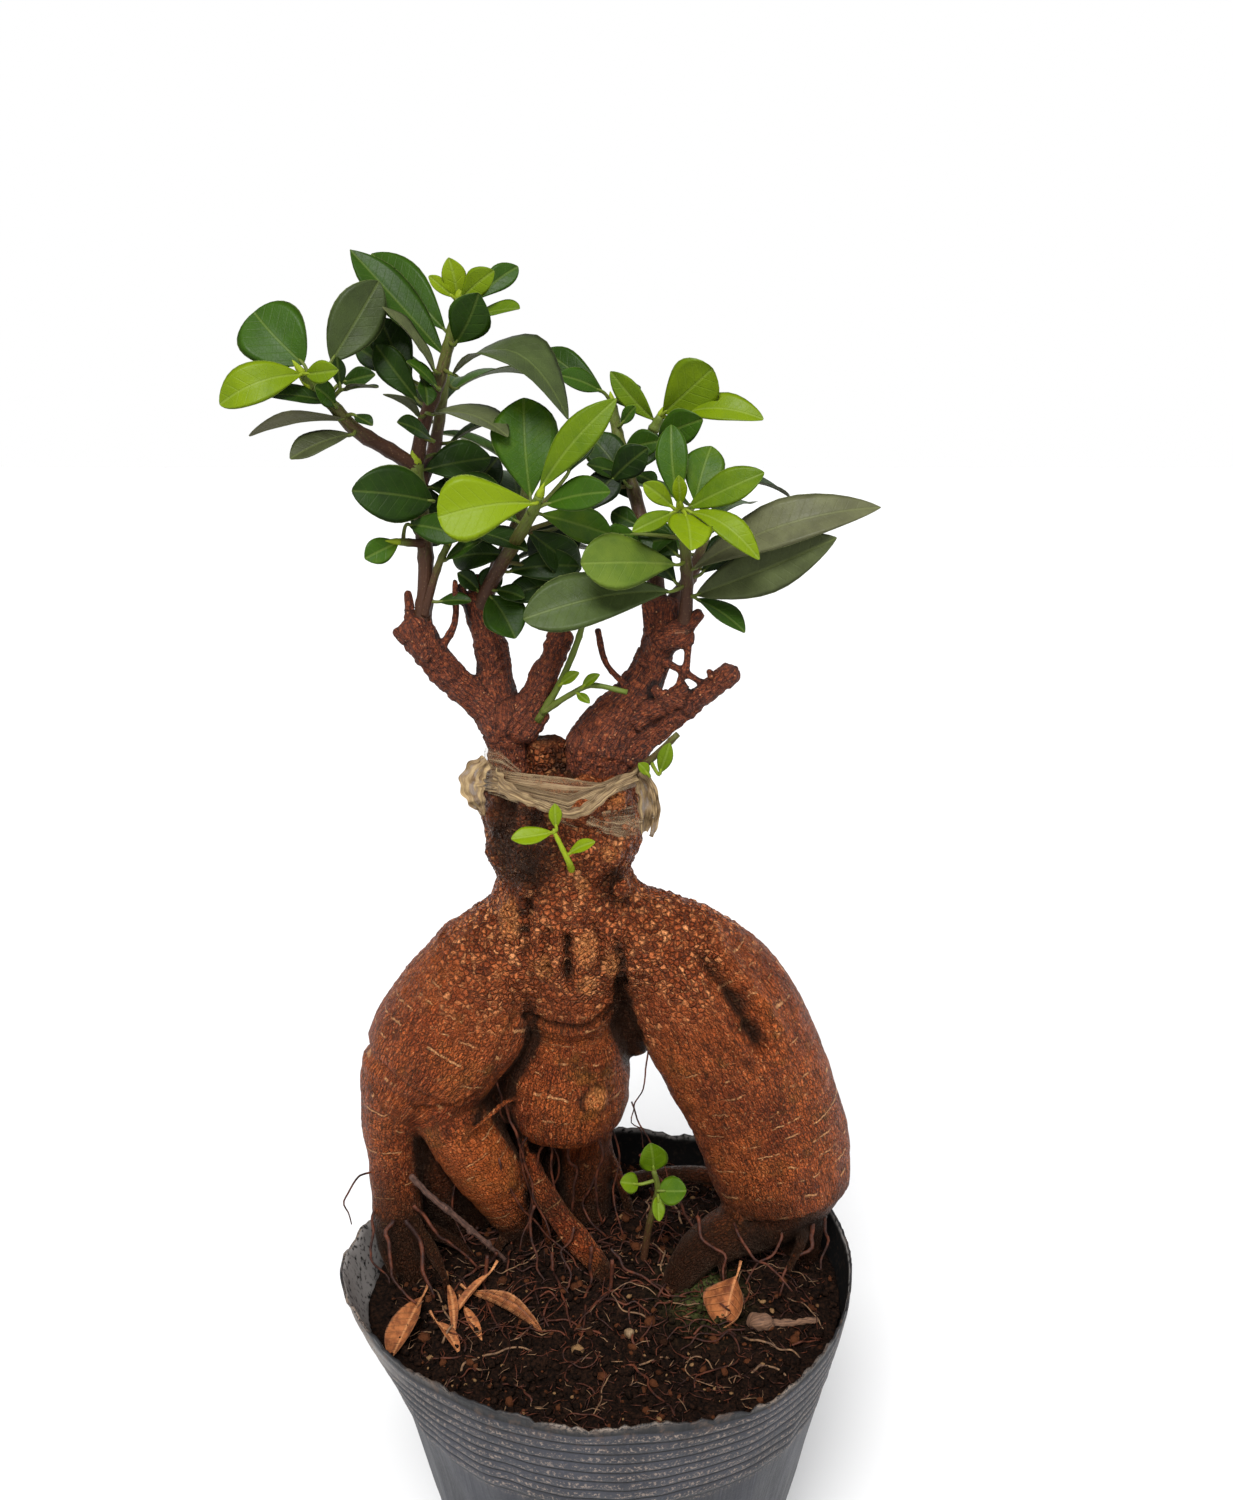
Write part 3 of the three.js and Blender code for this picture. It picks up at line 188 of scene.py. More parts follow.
# each limb: rows of x, z as seen, depth and radius; how flat it is; how round its ends are; how far it
# melts into the others
ROOTSTOCK = {
    "neck": ([[-7, 180, 11, 16.5], [-7.2, 188, 10.5, 16.5], [-7.4, 195, 10, 14.2], [-8.2, 201, 10, 16.4],
              [-7.6, 207, 10, 18.1], [-8.2, 216, 10, 16]], 0.86, (0.3, 0.2), 4),
    "yoke": ([[-31, 171.5, 9.5, 9.6], [-20, 177, 10, 11], [-6, 179, 10, 12], [8, 178, 10, 12.5],
              [20, 173, 10, 12]], 1, (0.4, 0.4), 4),
    "torso": ([[-7, 180, 10.5, 15], [-6.6, 166, 10.5, 12.6], [-6, 158, 12, 10.9], [-6.8, 149, 13.5, 13.6],
               [-8, 141, 15, 15.4], [-8.4, 133.6, 16, 12.8]], 0.95, (0.3, 0.42), 3),
    "left_arm": ([[-19, 177, 9.5, 12], [-27.8, 168, 9, 13.8], [-33.2, 158.5, 9, 16], [-38, 150, 8.5, 16.2],
                  [-41, 145, 8, 14]], 0.92, (0.3, 0.4), 1.8),
    "left_underarm": ([[-23, 165, 9, 9], [-26, 156.5, 7, 10.5], [-29.5, 150.5, 6.5, 9.6]], 1, (0.3, 0.6), 2),
    "left_back": ([[-21, 162, 17, 9], [-25, 146, 17, 9.5], [-29, 132, 17, 7.5], [-30, 116, 20, 5],
                   [-29, 92, 24, 3]], 1, (0.3, 0.3), 3),
    "left_heel": ([[-31, 150, 16, 8], [-36, 139, 17, 8.5], [-38.5, 127, 17, 8.4], [-38.4, 114, 19, 7],
                   [-35, 95, 21, 5]], 1, (0.3, 0.3), 3),
    "back_root": ([[-15, 146, 24, 8], [-15.5, 131, 25, 7.6], [-15, 115, 26, 7], [-13.5, 92, 27, 6]],
                  1, (0.3, 0.3), 3),
    "right_back": ([[3, 174, 15, 9], [7.5, 160, 16, 6.5], [9, 150.5, 17, 3]], 1, (0.3, 0.5), 2),
    "outer_leg": ([[-44.8, 145, 8, 11.2], [-48.6, 133.5, 7.5, 7.9], [-49.2, 122, 7.5, 6.2],
                   [-49.2, 112, 7, 5.7], [-48.8, 103, 6, 5.9], [-47, 92, 4, 5.2], [-42, 78, 4, 3]],
                  1, (0.3, 0.3), 4),
    "carrot_leg": ([[-37.5, 146, 8, 9], [-36.5, 138, 7, 9.5], [-33.3, 130.5, 7, 9], [-27.6, 120, 8.5, 8.4],
                    [-22.6, 109.5, 11, 6.2], [-18.6, 101.5, 13.5, 4.2], [-14, 90, 15, 2.4]],
                   1, (0.3, 0.3), 1.6),
    "right_arm": ([[10, 178, 10, 12], [18.5, 172.5, 9, 14.4], [26, 162.5, 8.5, 18.3], [32.3, 151, 8, 18.9],
                   [37.8, 139, 8, 18.2], [41.7, 128, 8, 17.8], [44, 119, 8, 16.8], [45.6, 112, 8, 13.6]],
                  0.8, (0.3, 0.55), 1.6),
    "right_foot": ([[45, 108, 7, 7.8], [38, 103, 5, 6.8], [31, 100, 2, 6.2], [24.5, 95, -1, 5.2],
                    [19.5, 87, -3, 3.8], [16, 77, -4, 2]], 1, (0.3, 0.3), 2),
    "right_heel": ([[49, 112, 9, 7.4], [49.5, 102, 10, 5.5], [49, 90, 11, 4.5], [47, 78, 11, 3]],
                   1, (0.3, 0.3), 3),
    "peg": ([[-4.5, 136, 18, 8.5], [-3.5, 124, 20, 6.9], [-3.3, 107, 22, 6.4], [-3, 90, 22, 5]],
            1, (0.3, 0.3), 2),
    "front_root": ([[-17, 122, 11, 2.4], [-14.5, 114, 9, 2.7], [-9.6, 105, 5.5, 2.8], [-4.6, 97.5, 2, 3.2],
                    [0.6, 90, -1, 2.6], [4, 82, -3, 1.4]], 1, (0.3, 0.3), 1.5),
    "stump": ([[-11, 211, 9, 5.2], [-11, 218, 8.5, 4.9], [-11, 223.5, 8.5, 4.2]], 1, (0.3, 0.6), 1.5),
}
# thin roots that lie on the wood: rows of x, z as seen, depth and radius
ROOTS = [
    [[-38.5, 120.5, 3, 0.5], [-34, 124.5, -1.2, 0.6], [-28, 130.5, -1.2, 0.65], [-21.5, 136.2, 2, 0.7],
     [-17, 138, 9, 0.8]],
    [[-22.5, 137, 7, 1], [-18.5, 128, 9, 0.9], [-16.2, 118, 10, 0.9], [-13.2, 105, 9, 0.9],
     [-12, 94, 9, 0.8]],
    [[-10, 126, 17, 1.2], [-12.5, 114, 17, 1.1], [-11, 100, 17, 1.2]],
    [[2, 124, 19, 1.3], [6, 112, 19, 1.2], [9, 100, 20, 1.2]],
    [[-1, 112, 22, 1.6], [14, 116.5, 25, 1.8], [27, 116, 21, 1.9], [36, 112, 14, 2]],
    [[-47, 106, 5, 2.2], [-42, 97, 1, 1.8], [-38.5, 89, -3, 1.2], [-37, 80, -5, 0.9]],
    [[-46, 104, 8, 2], [-39, 100, 9, 1.7], [-33, 96, 8, 1.3], [-29, 88, 7, 1]],
    [[27, 101, 1, 1.6], [30, 94, -4, 1.2], [31, 86, -7, 0.9]],
    [[50, 107, 6, 1.8], [50, 99, 0, 1.2], [46.8, 90, -4, 0.9]],
    [[-51, 103, 5, 1.6], [-52.5, 96, 1, 1.2], [-50, 86, -3, 0.8]],
    [[-19, 104, 12, 1.6], [-25, 96, 8, 1.1], [-28, 88, 4, 0.8]],
]
# knots and lumps: x, z as seen, depth, radius, and how far each melts in
KNOTS = [
    [-2.8, 197.8, -2.6, 2.7, 1.0], [2.8, 198.6, -1, 3, 0.8], [4.8, 211, 0, 3, 2], [-21.5, 207, 0, 3.4, 2],
    [-13, 203, -3.0, 2.6, 2], [-0.4, 136.4, 3.2, 2.9, 0.7], [-20.6, 184.5, 0.5, 2.4, 1.4],
    [-20.9, 180, 0.4, 2.6, 1.4], [-2, 174.6, 0.2, 3.6, 1.6], [-12.5, 172, 0.6, 2.8, 1.6],
    [3.4, 173, 0.8, 2.6, 1.6], [-16, 190, -2.6, 2.2, 2], [5.5, 190, -1.5, 2.4, 2], [47, 118, -4.4, 2.4, 2.5],
    [-14.5, 211, -4, 3, 2], [-3, 209, -4.4, 3.4, 2], [-22.4, 199, 4, 3, 2],
]
# the deep folds between the chest, the belly and the arms
FOLDS = [
    ([[-17.5, 158.5, 4, 0.4], [-10, 156.2, 2.4, 0.5], [-3, 155.8, 2.0, 0.5], [4.6, 160.5, 4, 0.4]], 1.0),
    ([[2.8, 174, 1, 0.3], [5.2, 168, 0, 0.6], [5.2, 162, 1.5, 0.7], [7.4, 156, 4, 0.7]], 1.0),
    ([[-17.4, 161, 3, 0.5], [-19.6, 153.4, 3, 0.7], [-22.6, 146, 4, 0.9], [-24, 138, 6, 0.9]], 0.8),
]
# furrows in the bark: x, z as seen and depth, then how wide, how deep, how high their lips are
FURROWS = [
    ([[22.5, 174, -5], [27, 169, -6.5], [30.5, 164.5, -7], [33.4, 160, -7], [36.2, 155, -7], [40, 148.5, -7]],
     2.3, 4.6, 1.7),
    ([[-6.8, 180, -2.5], [-6.9, 173, -3], [-6.6, 165.5, -2.5]], 1.1, 2.8, 0.5),
    ([[4.4, 179, -2], [5.8, 170, -0.5], [5.4, 162.5, 1], [8, 156, 2.5], [11, 151, 4]], 1.2, 1.8, 0.2),
    ([[-45, 135, 0], [-37, 135.4, -2.5], [-28, 139, -1]], 0.7, 0.9, 0.35),
    ([[-18.5, 159, 2], [-9.7, 156.3, 0], [-2.7, 155.8, 0], [5, 161.5, 1]], 0.9, 1.2, 0.4),
    ([[-16, 152.6, 1], [-7, 151, 0], [4, 152.6, 0]], 0.6, 0.5, 0.3),
    ([[13, 183, -3], [18, 180.5, -4], [22, 178, -5]], 1.1, 0.9, 0.4),
    ([[-15.6, 188, -4], [-16.4, 181, -4], [-17, 172, -3]], 1.2, 1.5, 0.7),
    ([[-1.6, 182, -4], [1.0, 176, -4], [0.4, 168, -3]], 0.9, 1.2, 0.5),
    ([[-11, 182, -4], [-12, 175, -4], [-10.6, 167, -3]], 0.9, 1.2, 0.5),
    ([[4.4, 186, -4], [6.6, 180, -4], [7, 174, -3]], 0.9, 1.0, 0.5),
    ([[-20, 168, -3], [-19, 161, -2], [-20.6, 155, 0]], 0.8, 0.8, 0.4),
]


def furrowed(spots, rows, width, depth, lip):
    """How far a furrow moves the skin out at each vertex, and how near to it the vertex is."""
    line = soft_route(np.array([seen(*row) for row in rows]), 8)
    away, fade = np.full(len(spots), 1e9), np.zeros(len(spots))
    for i, spot in enumerate(line):
        gap = np.linalg.norm((spots - spot) * [1, 0.35, 1], axis=1)
        nearer = gap < away
        away[nearer], fade[nearer] = gap[nearer], min(1, (i + 0.5) / 3, (len(line) - i - 0.5) / 3)
    away = away + soft_noise(spots / (1.2 * width), 29) * width * 0.35
    pull = np.exp(-(away / width) ** 2) * fade
    return lip * fade * np.exp(-((away - 2 * width) / (0.8 * width)) ** 2) - depth * pull, pull


def soft_noise(p, seed):
    """Smooth random values from -1 to 1, one a unit apart, for the points p."""
    cell = np.floor(p).astype(np.int64)
    f = p - cell
    f = f * f * (3 - 2 * f)
    total = np.zeros(len(p))
    for corner in np.ndindex(2, 2, 2):
        weight = np.prod(np.where(corner, f, 1 - f), axis=1)
        total += weight * (hashed(cell + corner, seed) * 2 - 1)
    return total


def hashed(k, seed):
    """A random value from 0 to 1 for each row of whole numbers."""
    h = (k[:, 0] * 73856093) ^ (k[:, 1] * 19349663) ^ (k[:, 2] * 83492791) ^ (seed * 2654435761)
    h = ((h & 0xFFFFFFFF) ^ ((h & 0xFFFFFFFF) >> 13)) * 1274126177 & 0xFFFFFFFF
    h = (h ^ (h >> 15)) * 2246822519 & 0xFFFFFFFF
    return ((h ^ (h >> 13)) & 0xFFFFFF) / 0xFFFFFF


def pebbled(p, seed):
    """Distance to the edge between round cells of unit size, 0 at the edge, for the points p."""
    cell = np.floor(p).astype(np.int64)
    near = np.full(len(p), 9.0)
    second = np.full(len(p), 9.0)
    for shift in np.ndindex(3, 3, 3):
        k = cell + np.array(shift) - 1
        spot = k + np.stack([hashed(k, seed + n) for n in range(3)], axis=1)
        away = np.linalg.norm(spot - p, axis=1)
        second = np.minimum(second, np.maximum(near, away))
        near = np.minimum(near, away)
    return second - near


def soft_step(low, high, value):
    """0 up to low, 1 from high, soft between them."""
    t = np.clip((value - low) / (high - low), 0, 1)
    return t * t * (3 - 2 * t)


def put_mesh(name, spots, faces, marks=None, kinds=None):
    """A smooth mesh from millimetres. marks are values that its materials read at each vertex."""
    mesh = bpy.data.meshes.new(name)
    if isinstance(faces, np.ndarray):
        faces = faces.tolist()
    mesh.from_pydata((np.asarray(spots) * MM).tolist(), [], faces)
    mesh.shade_smooth()
    for mark, values in (marks or {}).items():
        values = np.asarray(values, dtype=float)
        kind = "FLOAT" if values.ndim == 1 else "FLOAT_VECTOR"
        layer = mesh.attributes.new(mark, kind, "POINT")
        layer.data.foreach_set("value" if values.ndim == 1 else "vector", values.ravel())
    if kinds is not None:
        mesh.polygons.foreach_set("material_index", np.asarray(kinds, dtype=np.int32))
    piece = bpy.data.objects.new(name, mesh)
    bpy.context.scene.collection.objects.link(piece)
    return piece


def dressed(piece, materials, node=None):
    """Give a piece its materials, its body and the node that it stands in for."""
    for material in materials:
        piece.data.materials.append(material)
    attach(piece, "root")
    if node:
        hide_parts(node)


def vertex_normals(spots, quads):
    """The normals of a skin of quads at its vertices."""
    a, b, c, d = (spots[quads[:, i]] for i in range(4))
    face = np.cross(c - a, d - b)
    normals = np.zeros_like(spots)
    for i in range(4):
        np.add.at(normals, quads[:, i], face)
    return normals / np.maximum(np.linalg.norm(normals, axis=1, keepdims=True), 1e-9)


LIMB_STEP = 31.0


def bark_places(spots, limbs):
    """For each vertex, how far it lies round and along the limb that it is on, and a value of that limb."""
    best = np.full(len(spots), 1e9)
    place = np.zeros((len(spots), 3))
    for number, limb in enumerate(limbs):
        route = limb["route"]
        so_far = np.concatenate([[0], np.cumsum(np.linalg.norm(np.diff(route[:, :3], axis=0), axis=1))])
        mean = route[:, 3].mean()
        for i in range(len(route) - 1):
            a, b = route[i, :3], route[i + 1, :3]
            length = np.linalg.norm(b - a)
            u = (b - a) / length
            rel = spots - a
            along = np.clip(rel @ u, 0, length)
            off = rel - along[:, None] * u
            gap = np.linalg.norm(off, axis=1) - route[i, 3]
            side = np.cross(u, [0, 1, 0])
            side = side / max(np.linalg.norm(side), 1e-6)
            front = np.cross(u, side)
            better = gap < best
            best[better] = gap[better]
            angle = np.arctan2(off @ side, off @ front)
            here = np.stack([angle * mean, so_far[i] + along, along * 0 + number * LIMB_STEP], axis=1)
            place[better] = here[better]
    return place


class Shade:
    """A value on its way through a material's nodes. Sums and products of it add the nodes for them."""

    def __init__(self, tree, socket):
        self.tree, self.socket = tree, socket

    def node(self, kind, settings=None, inputs=None, output=0):
        """A node of any kind, with its settings, such as a ramp's stops, and the values or links of its
        inputs, as the value at one of its outputs."""
        made = self.tree.nodes.new(kind)
        for key, value in (settings or {}).items():
            if key != "stops":
                setattr(made, key, value)
                continue
            elements = made.color_ramp.elements
            while len(elements) < len(value):
                elements.new(0.5)
            for element, (place, colour) in zip(elements, value):
                element.position, element.color = place, (*colour, 1)
        for key, value in (inputs or {}).items():
            if isinstance(value, Shade):
                self.tree.links.new(value.socket, made.inputs[key])
            else:
                made.inputs[key].default_value = value
        return Shade(self.tree, made.outputs[output])

    def maths(self, operation, *terms):
        """A sum of any kind, from values on their way and plain numbers."""
        return self.node("ShaderNodeMath", {"operation": operation}, dict(enumerate(terms)))

    def __add__(self, other):
        return self.maths("ADD", self, other)

    def __sub__(self, other):
        return self.maths("SUBTRACT", self, other)

    def __rsub__(self, other):
        return self.maths("SUBTRACT", other, self)

    def __mul__(self, other):
        return self.maths("MULTIPLY", self, other)

    __radd__ = __add__
    __rmul__ = __mul__

    def __abs__(self):
        return self.maths("ABSOLUTE", self)

    def step(self, low, high):
        """0 up to low, 1 from high, soft between them."""
        return self.node("ShaderNodeMapRange", {"interpolation_type": "SMOOTHSTEP"},
                         {"Value": self, "From Min": low, "From Max": high})

    def part(self, number):
        """The x, y or z of this place."""
        return self.node("ShaderNodeSeparateXYZ", {}, {0: self}, number)

    def stretched(self, x, y, z):
        """This place with each way scaled."""
        return self.node("ShaderNodeVectorMath", {"operation": "MULTIPLY"}, {0: self, 1: (x, y, z)})

    def moved(self, other):
        """This place moved by a row of numbers or by another value."""
        return self.node("ShaderNodeVectorMath", {"operation": "ADD"}, {0: self, 1: other})

    def cloud(self, scale=1.0, detail=2.0, rough=0.5, output=0):
        """Noise from 0 to 1 at this place."""
        return self.node("ShaderNodeTexNoise", {},
                         {"Vector": self, "Scale": scale, "Detail": detail, "Roughness": rough}, output)

    def pebbles(self, feature="DISTANCE_TO_EDGE", scale=1.0, output=0):
        """Round cells: how far this place is from their edges, or with F1 from their middles."""
        return self.node("ShaderNodeTexVoronoi", {"feature": feature},
                         {"Vector": self, "Scale": scale}, output)

    def ramp(self, *stops):
        """The colour at this value between stops, each a value and its colour."""
        return self.node("ShaderNodeValToRGB", {"stops": stops}, {0: self})

    def mixed(self, blend, amount, under, over):
        """Two colours blended by an amount, each a row of numbers or a value on its way."""
        under, over = (colour if isinstance(colour, Shade) else (*colour, 1) for colour in (under, over))
        return self.node("ShaderNodeMix", {"data_type": "RGBA", "blend_type": blend},
                         {0: amount, 6: under, 7: over}, 2)

    def tint(self, under, over):
        """The colour under, turning into the colour over where this value is 1."""
        return self.mixed("MIX", self, under, over)

    def darken(self, colour, amount):
        """The colour multiplied by this value's grey, by an amount."""
        grey = self.node("ShaderNodeCombineColor", {}, {0: self, 1: self, 2: self})
        return self.mixed("MULTIPLY", amount, colour, grey)


class Finish:
    """A material with one shader, its steady values and the sockets that its nodes feed."""

    def __init__(self, name, **steady):
        self.material = bpy.data.materials.new(name)
        self.material.use_nodes = True
        self.tree = self.material.node_tree
        self.shader = self.tree.nodes["Principled BSDF"]
        for key, value in steady.items():
            self.shader.inputs[key.replace("_", " ")].default_value = value
        self.start = Shade(self.tree, None)
        coordinates = self.start.node("ShaderNodeTexCoord", {}, {}, "Object")
        self.place = coordinates.stretched(1000, 1000, 1000)

    def mark(self, name, output="Fac"):
        """A value that the mesh holds at each vertex."""
        return self.start.node("ShaderNodeAttribute", {"attribute_name": name}, {}, output)

    def feed(self, **values):
        """Link values to the shader's sockets of the same names."""
        for key, value in values.items():
            self.tree.links.new(value.socket, self.shader.inputs[key.replace("_", " ")])

    def relief(self, height, depth):
        """Bumps of a height from 0 to 1, a depth in millimetres."""
        self.feed(Normal=self.start.node("ShaderNodeBump", {}, {"Distance": depth * MM, "Height": height}))


def evened(values, groups, quads, rounds):
    """Values at vertices, each drawn towards those of its neighbours of the same group."""
    pairs = np.concatenate([quads[:, :2], quads[:, 2:]])
    a, b = pairs.ravel(), pairs[:, ::-1].ravel()
    same = groups[a] == groups[b]
    a, b = a[same], b[same]
    count = np.maximum(np.bincount(a, minlength=len(values)), 1)
    for _ in range(rounds):
        values = 0.5 * values + 0.5 * np.bincount(a, values[b], len(values)) / count
    return values


def near_row(spots, x, z, y, radius):
    """1 at a place as seen, 0 from a radius on."""
    return soft_step(1, 0.35, np.linalg.norm(spots - seen(x, z, y), axis=1) / radius)


# dark places on the stump, the neck, the folds and the feet, as x, z as seen, depth, radius: painted shade
# in the notches of the neck, on its left side and in the folds, and the stump and the feet made darker
DARK_SPOTS = [
    [-11, 227.4, 9, 8], [-5.4, 219, 4, 4.5], [-17.6, 184, -3, 2.4], [-17.4, 179.5, -3, 2.2],
    [-20, 208, 0, 7], [7.4, 156.5, 5, 3.4], [-23.4, 144, 6, 4], [-19.6, 155, 4, 2.6],
    [50, 103, 4, 9], [38, 98, 0, 8], [-50, 99, 4, 7],
]
# pale or orange scars: x, z as seen, depth, radius, how much taller than wide
SCARS = [
    [-20.6, 182.5, -2, 3.2, 2.2], [-2.6, 175.5, -3, 3.4, 1.5], [3.4, 171.5, -2, 2.6, 1.8],
    [-2.6, 166, -3, 2.8, 1.2], [-0.4, 136.4, 0.5, 3.4, 1], [2.8, 198.6, -4, 2.4, 1.2],
    [4.6, 211.6, -4, 3.2, 1], [-12.5, 171, -3, 2.6, 1.6], [-3, 190, -5, 2.4, 1.2], [17, 183, -4, 2.2, 1],
]
WOOD_VOXEL = 0.73
limbs = [as_limb(limb_route(rows), melt, domes, flat) for rows, flat, domes, melt in ROOTSTOCK.values()]
limbs += [as_limb(limb_route(rows), 1.2) for rows in ROOTS]
limbs += [as_limb(limb_route([[x, z, y, r], [x, z + 0.3, y + 1.2, r]], 1), melt)
          for x, z, y, r, melt in KNOTS]
cuts = [as_limb(limb_route(rows), melt) for rows, melt in FOLDS]
spots, quads, normals, hollow = grown_solid(limbs, cuts, WOOD_VOXEL)
place = bark_places(spots, limbs[:len(ROOTSTOCK) + len(ROOTS)])
place[:, 1] = evened(place[:, 1], place[:, 2], quads, 14)
height = spots[:, 2]
# scaly bark on the neck and chest, ending raggedly on the limbs
reach = np.hypot((spots[:, 0] + 8) * 0.66, height - 186) + 7 * soft_noise(spots / 9, 3)
scaly = soft_step(46, 14, reach)
lumps = 0.5 * soft_noise(spots / 7, 5) + 0.3 * soft_noise(spots / 3.1, 6)
warped = spots + 0.9 * np.stack([soft_noise(spots / 1.9, 41 + k) for k in range(3)], axis=1)
scales = np.minimum(pebbled(warped * [1, 1, 0.8] / 2.1, 9), 0.45)
small = np.minimum(pebbled(warped / 1.15, 19), 0.4)
rings = soft_noise(place * [0.05, 0.45, 1], 11) + 0.7 * soft_noise(place * [0.5, 0.09, 1], 12)
swell = 0.5 * lumps + scaly * (1.25 * scales + 0.5 * small - 0.45)
swell += (1 - scaly) * (0.14 * rings + 0.16 * small)
neck = soft_step(192, 202, height)
round_neck = np.arctan2(spots[:, 1] - 8, spots[:, 0] + 6)
ridged = soft_noise(np.stack([round_neck * 4.2, height / 7, height * 0], axis=1), 21)
swell += neck * (0.8 * ridged + 0.55 * soft_noise(spots / 2.6, 22))
stump = near_row(spots, -11, 219, 8, 11)
swell += stump * (0.9 * soft_noise(spots / 1.9, 23) + 0.5 * soft_noise(spots * [1, 1, 0.3] / 1.1, 24))
# darkening: painted shade in the notches, in the folds and over the neck's left side, and a darker stump and
# feet
darkening = np.max([0.75 * near_row(spots, *row) for row in DARK_SPOTS], axis=0)
shade = np.maximum(near_row(spots, -17, 203, 0, 17), 0.9 * near_row(spots, -11, 222, 4, 10))
darkening = np.maximum(darkening, shade * (0.62 + 0.3 * soft_noise(spots / 4, 29)))
# painted shade in each furrow, darker where the furrow is deeper
for furrow in FURROWS:
    moved, near = furrowed(spots, *furrow)
    swell += moved
    darkening = np.maximum(darkening, 0.95 * near**1.2 * np.clip((furrow[2] - 0.6) / 1.5, 0, 1))
spots = spots + normals * swell[:, None]
knot_ring = np.linalg.norm(spots - seen(-0.4, 136.4, 1.5), axis=1) + soft_noise(spots / 1.6, 26) * 0.5
knot_ring = soft_step(1.1, 0.2, abs(knot_ring - 4.1))
darkening = np.maximum(darkening, knot_ring * (0.35 + 0.5 * soft_noise(spots / 2.5, 27)))
scar = np.max([
    soft_step(1.0, 0.5, np.linalg.norm((spots - seen(x, z, y)) / [r, 2 * r, r * tall], axis=1))
    for x, z, y, r, tall in SCARS], axis=0)
# soil dirt together with painted shade low on the legs, less where the wood is clean, and painted shade on
# the parts at the back of the plant
dirt = soft_step(118, 99, height + 6 * soft_noise(spots / 8, 15))
clean = np.maximum(near_row(spots, -26, 112, 6, 16), near_row(spots, -6, 99, 4, 12))
dirt = np.maximum(dirt * (1 - 0.8 * clean), 0.8 * near_row(spots, -3.5, 116, 20, 20) * (height < 128))
shade_behind = soft_step(17, 24, spots[:, 1]) * soft_step(148, 122, height + 14 * soft_noise(spots / 6, 16))
dirt = np.maximum(dirt, shade_behind)
carrot = np.linalg.norm((spots - seen(-30, 119, 6)) / [11, 14, 17], axis=1)
ruddy = np.maximum(soft_step(1.1, 0.5, carrot), 0.8 * near_row(spots, -38, 140, 0, 7))
rootstock = put_mesh("rootstock_wood", spots, quads, {
    "bark_place": place, "scaly": np.maximum(scaly, stump), "scar": scar, "dirt": dirt, "ruddy": ruddy,
    "hollow": np.clip(hollow + darkening, 0, 1)})

bark = Finish("root_bark", Specular_IOR_Level=0.32, Specular_Tint=(1.0, 0.7, 0.5, 1.0))
round_limb = bark.mark("bark_place", "Vector")
ragged = bark.place.cloud(0.33, 3, 0.6)
scaly_part = (bark.mark("scaly") * 1.15 + (ragged - 0.5) * 1.5).step(0.2, 1.0)
wander = bark.place.cloud(0.8, 2, output=1).stretched(1.1, 1.1, 1.1)
flake_place = bark.place.moved(wander)
flakes = flake_place.pebbles(scale=0.8)
flake_tone = bark.start.node("ShaderNodeSeparateColor", {}, {0: flake_place.pebbles("F1", 0.8, output=1)})
grit = bark.place.cloud(1.5, 5, 0.68)
patches = bark.place.cloud(0.085, 5, 0.66)
reds = bark.place.moved((90, 0, 0)).cloud(0.11, 3, 0.6)
grown = round_limb.moved(wander)
fibre = grown.stretched(1.7, 0.34, 1).cloud(1.0, 5, 0.7)
wrinkled = grown.stretched(1.55, 0.74, 1).pebbles()
bend = round_limb.stretched(0.05, 0.03, 1).cloud(1.0, 1)
level = round_limb.part(1) * 0.27 + bend * 1.3
line = abs(level.maths("FRACT", level) - 0.5).step(0.075, 0.03)
dash_shadow = abs(level.maths("FRACT", level) - 0.41).step(0.08, 0.02)
dash_place = {0: round_limb.part(0) * 0.17, 1: level.maths("FLOOR", level) * 3.7, 2: round_limb.part(2)}
across = bark.start.node("ShaderNodeCombineXYZ", {}, dash_place).cloud(1.0, 3, 0.6)
dashed = across.step(0.52, 0.6) * (1 - scaly_part)
specks = flake_place.pebbles("F1", 0.75).step(0.24, 0.1) * bark.place.cloud(0.3, 1).step(0.46, 0.58)
tone = patches.ramp((0.32, (0.19, 0.032, 0.009)), (0.44, (0.34, 0.068, 0.017)),
                    (0.57, (0.50, 0.108, 0.024)), (0.7, (0.40, 0.112, 0.024)))
tone = (reds.step(0.52, 0.68) * 0.6).tint(tone, (0.31, 0.047, 0.011))
tone = fibre.step(0.34, 0.58).darken(tone, 0.72)
# painted highlights on the tops of the fibres
tone = (fibre.step(0.56, 0.68) * grit.step(0.45, 0.58) * 0.8).tint(tone, (0.84, 0.36, 0.14))
olive = bark.place.moved((0, 70, 0)).cloud(0.09, 3, 0.6).step(0.56, 0.7)
tone = (olive * 0.5).tint(tone, (0.21, 0.088, 0.013))
tone = wrinkled.step(0.0, 0.1).darken(tone, ragged.step(0.3, 0.6) * 0.35 + 0.4)
tone = flake_place.cloud(2.6, 3, 0.6).step(0.38, 0.56).darken(tone, 0.55)
flaky = flake_tone.ramp((0.0, (0.17, 0.034, 0.011)), (0.45, (0.38, 0.086, 0.026)),
                        (0.8, (0.60, 0.17, 0.054)), (1.0, (0.86, 0.34, 0.130)))
flaky = (flakes.step(0.15, 0.02) * 0.8).tint(flaky, (0.030, 0.006, 0.0025))
flaky = grit.step(0.28, 0.58).darken(flaky, 0.6)
tone = scaly_part.tint(tone, flaky)
tone = (bark.mark("ruddy") * grit.step(0.3, 0.65) * 0.7).tint(tone, (0.46, 0.10, 0.018))
tone = (bark.mark("scar") * grit.step(0.38, 0.6) * 0.7).tint(tone, (0.66, 0.25, 0.075))
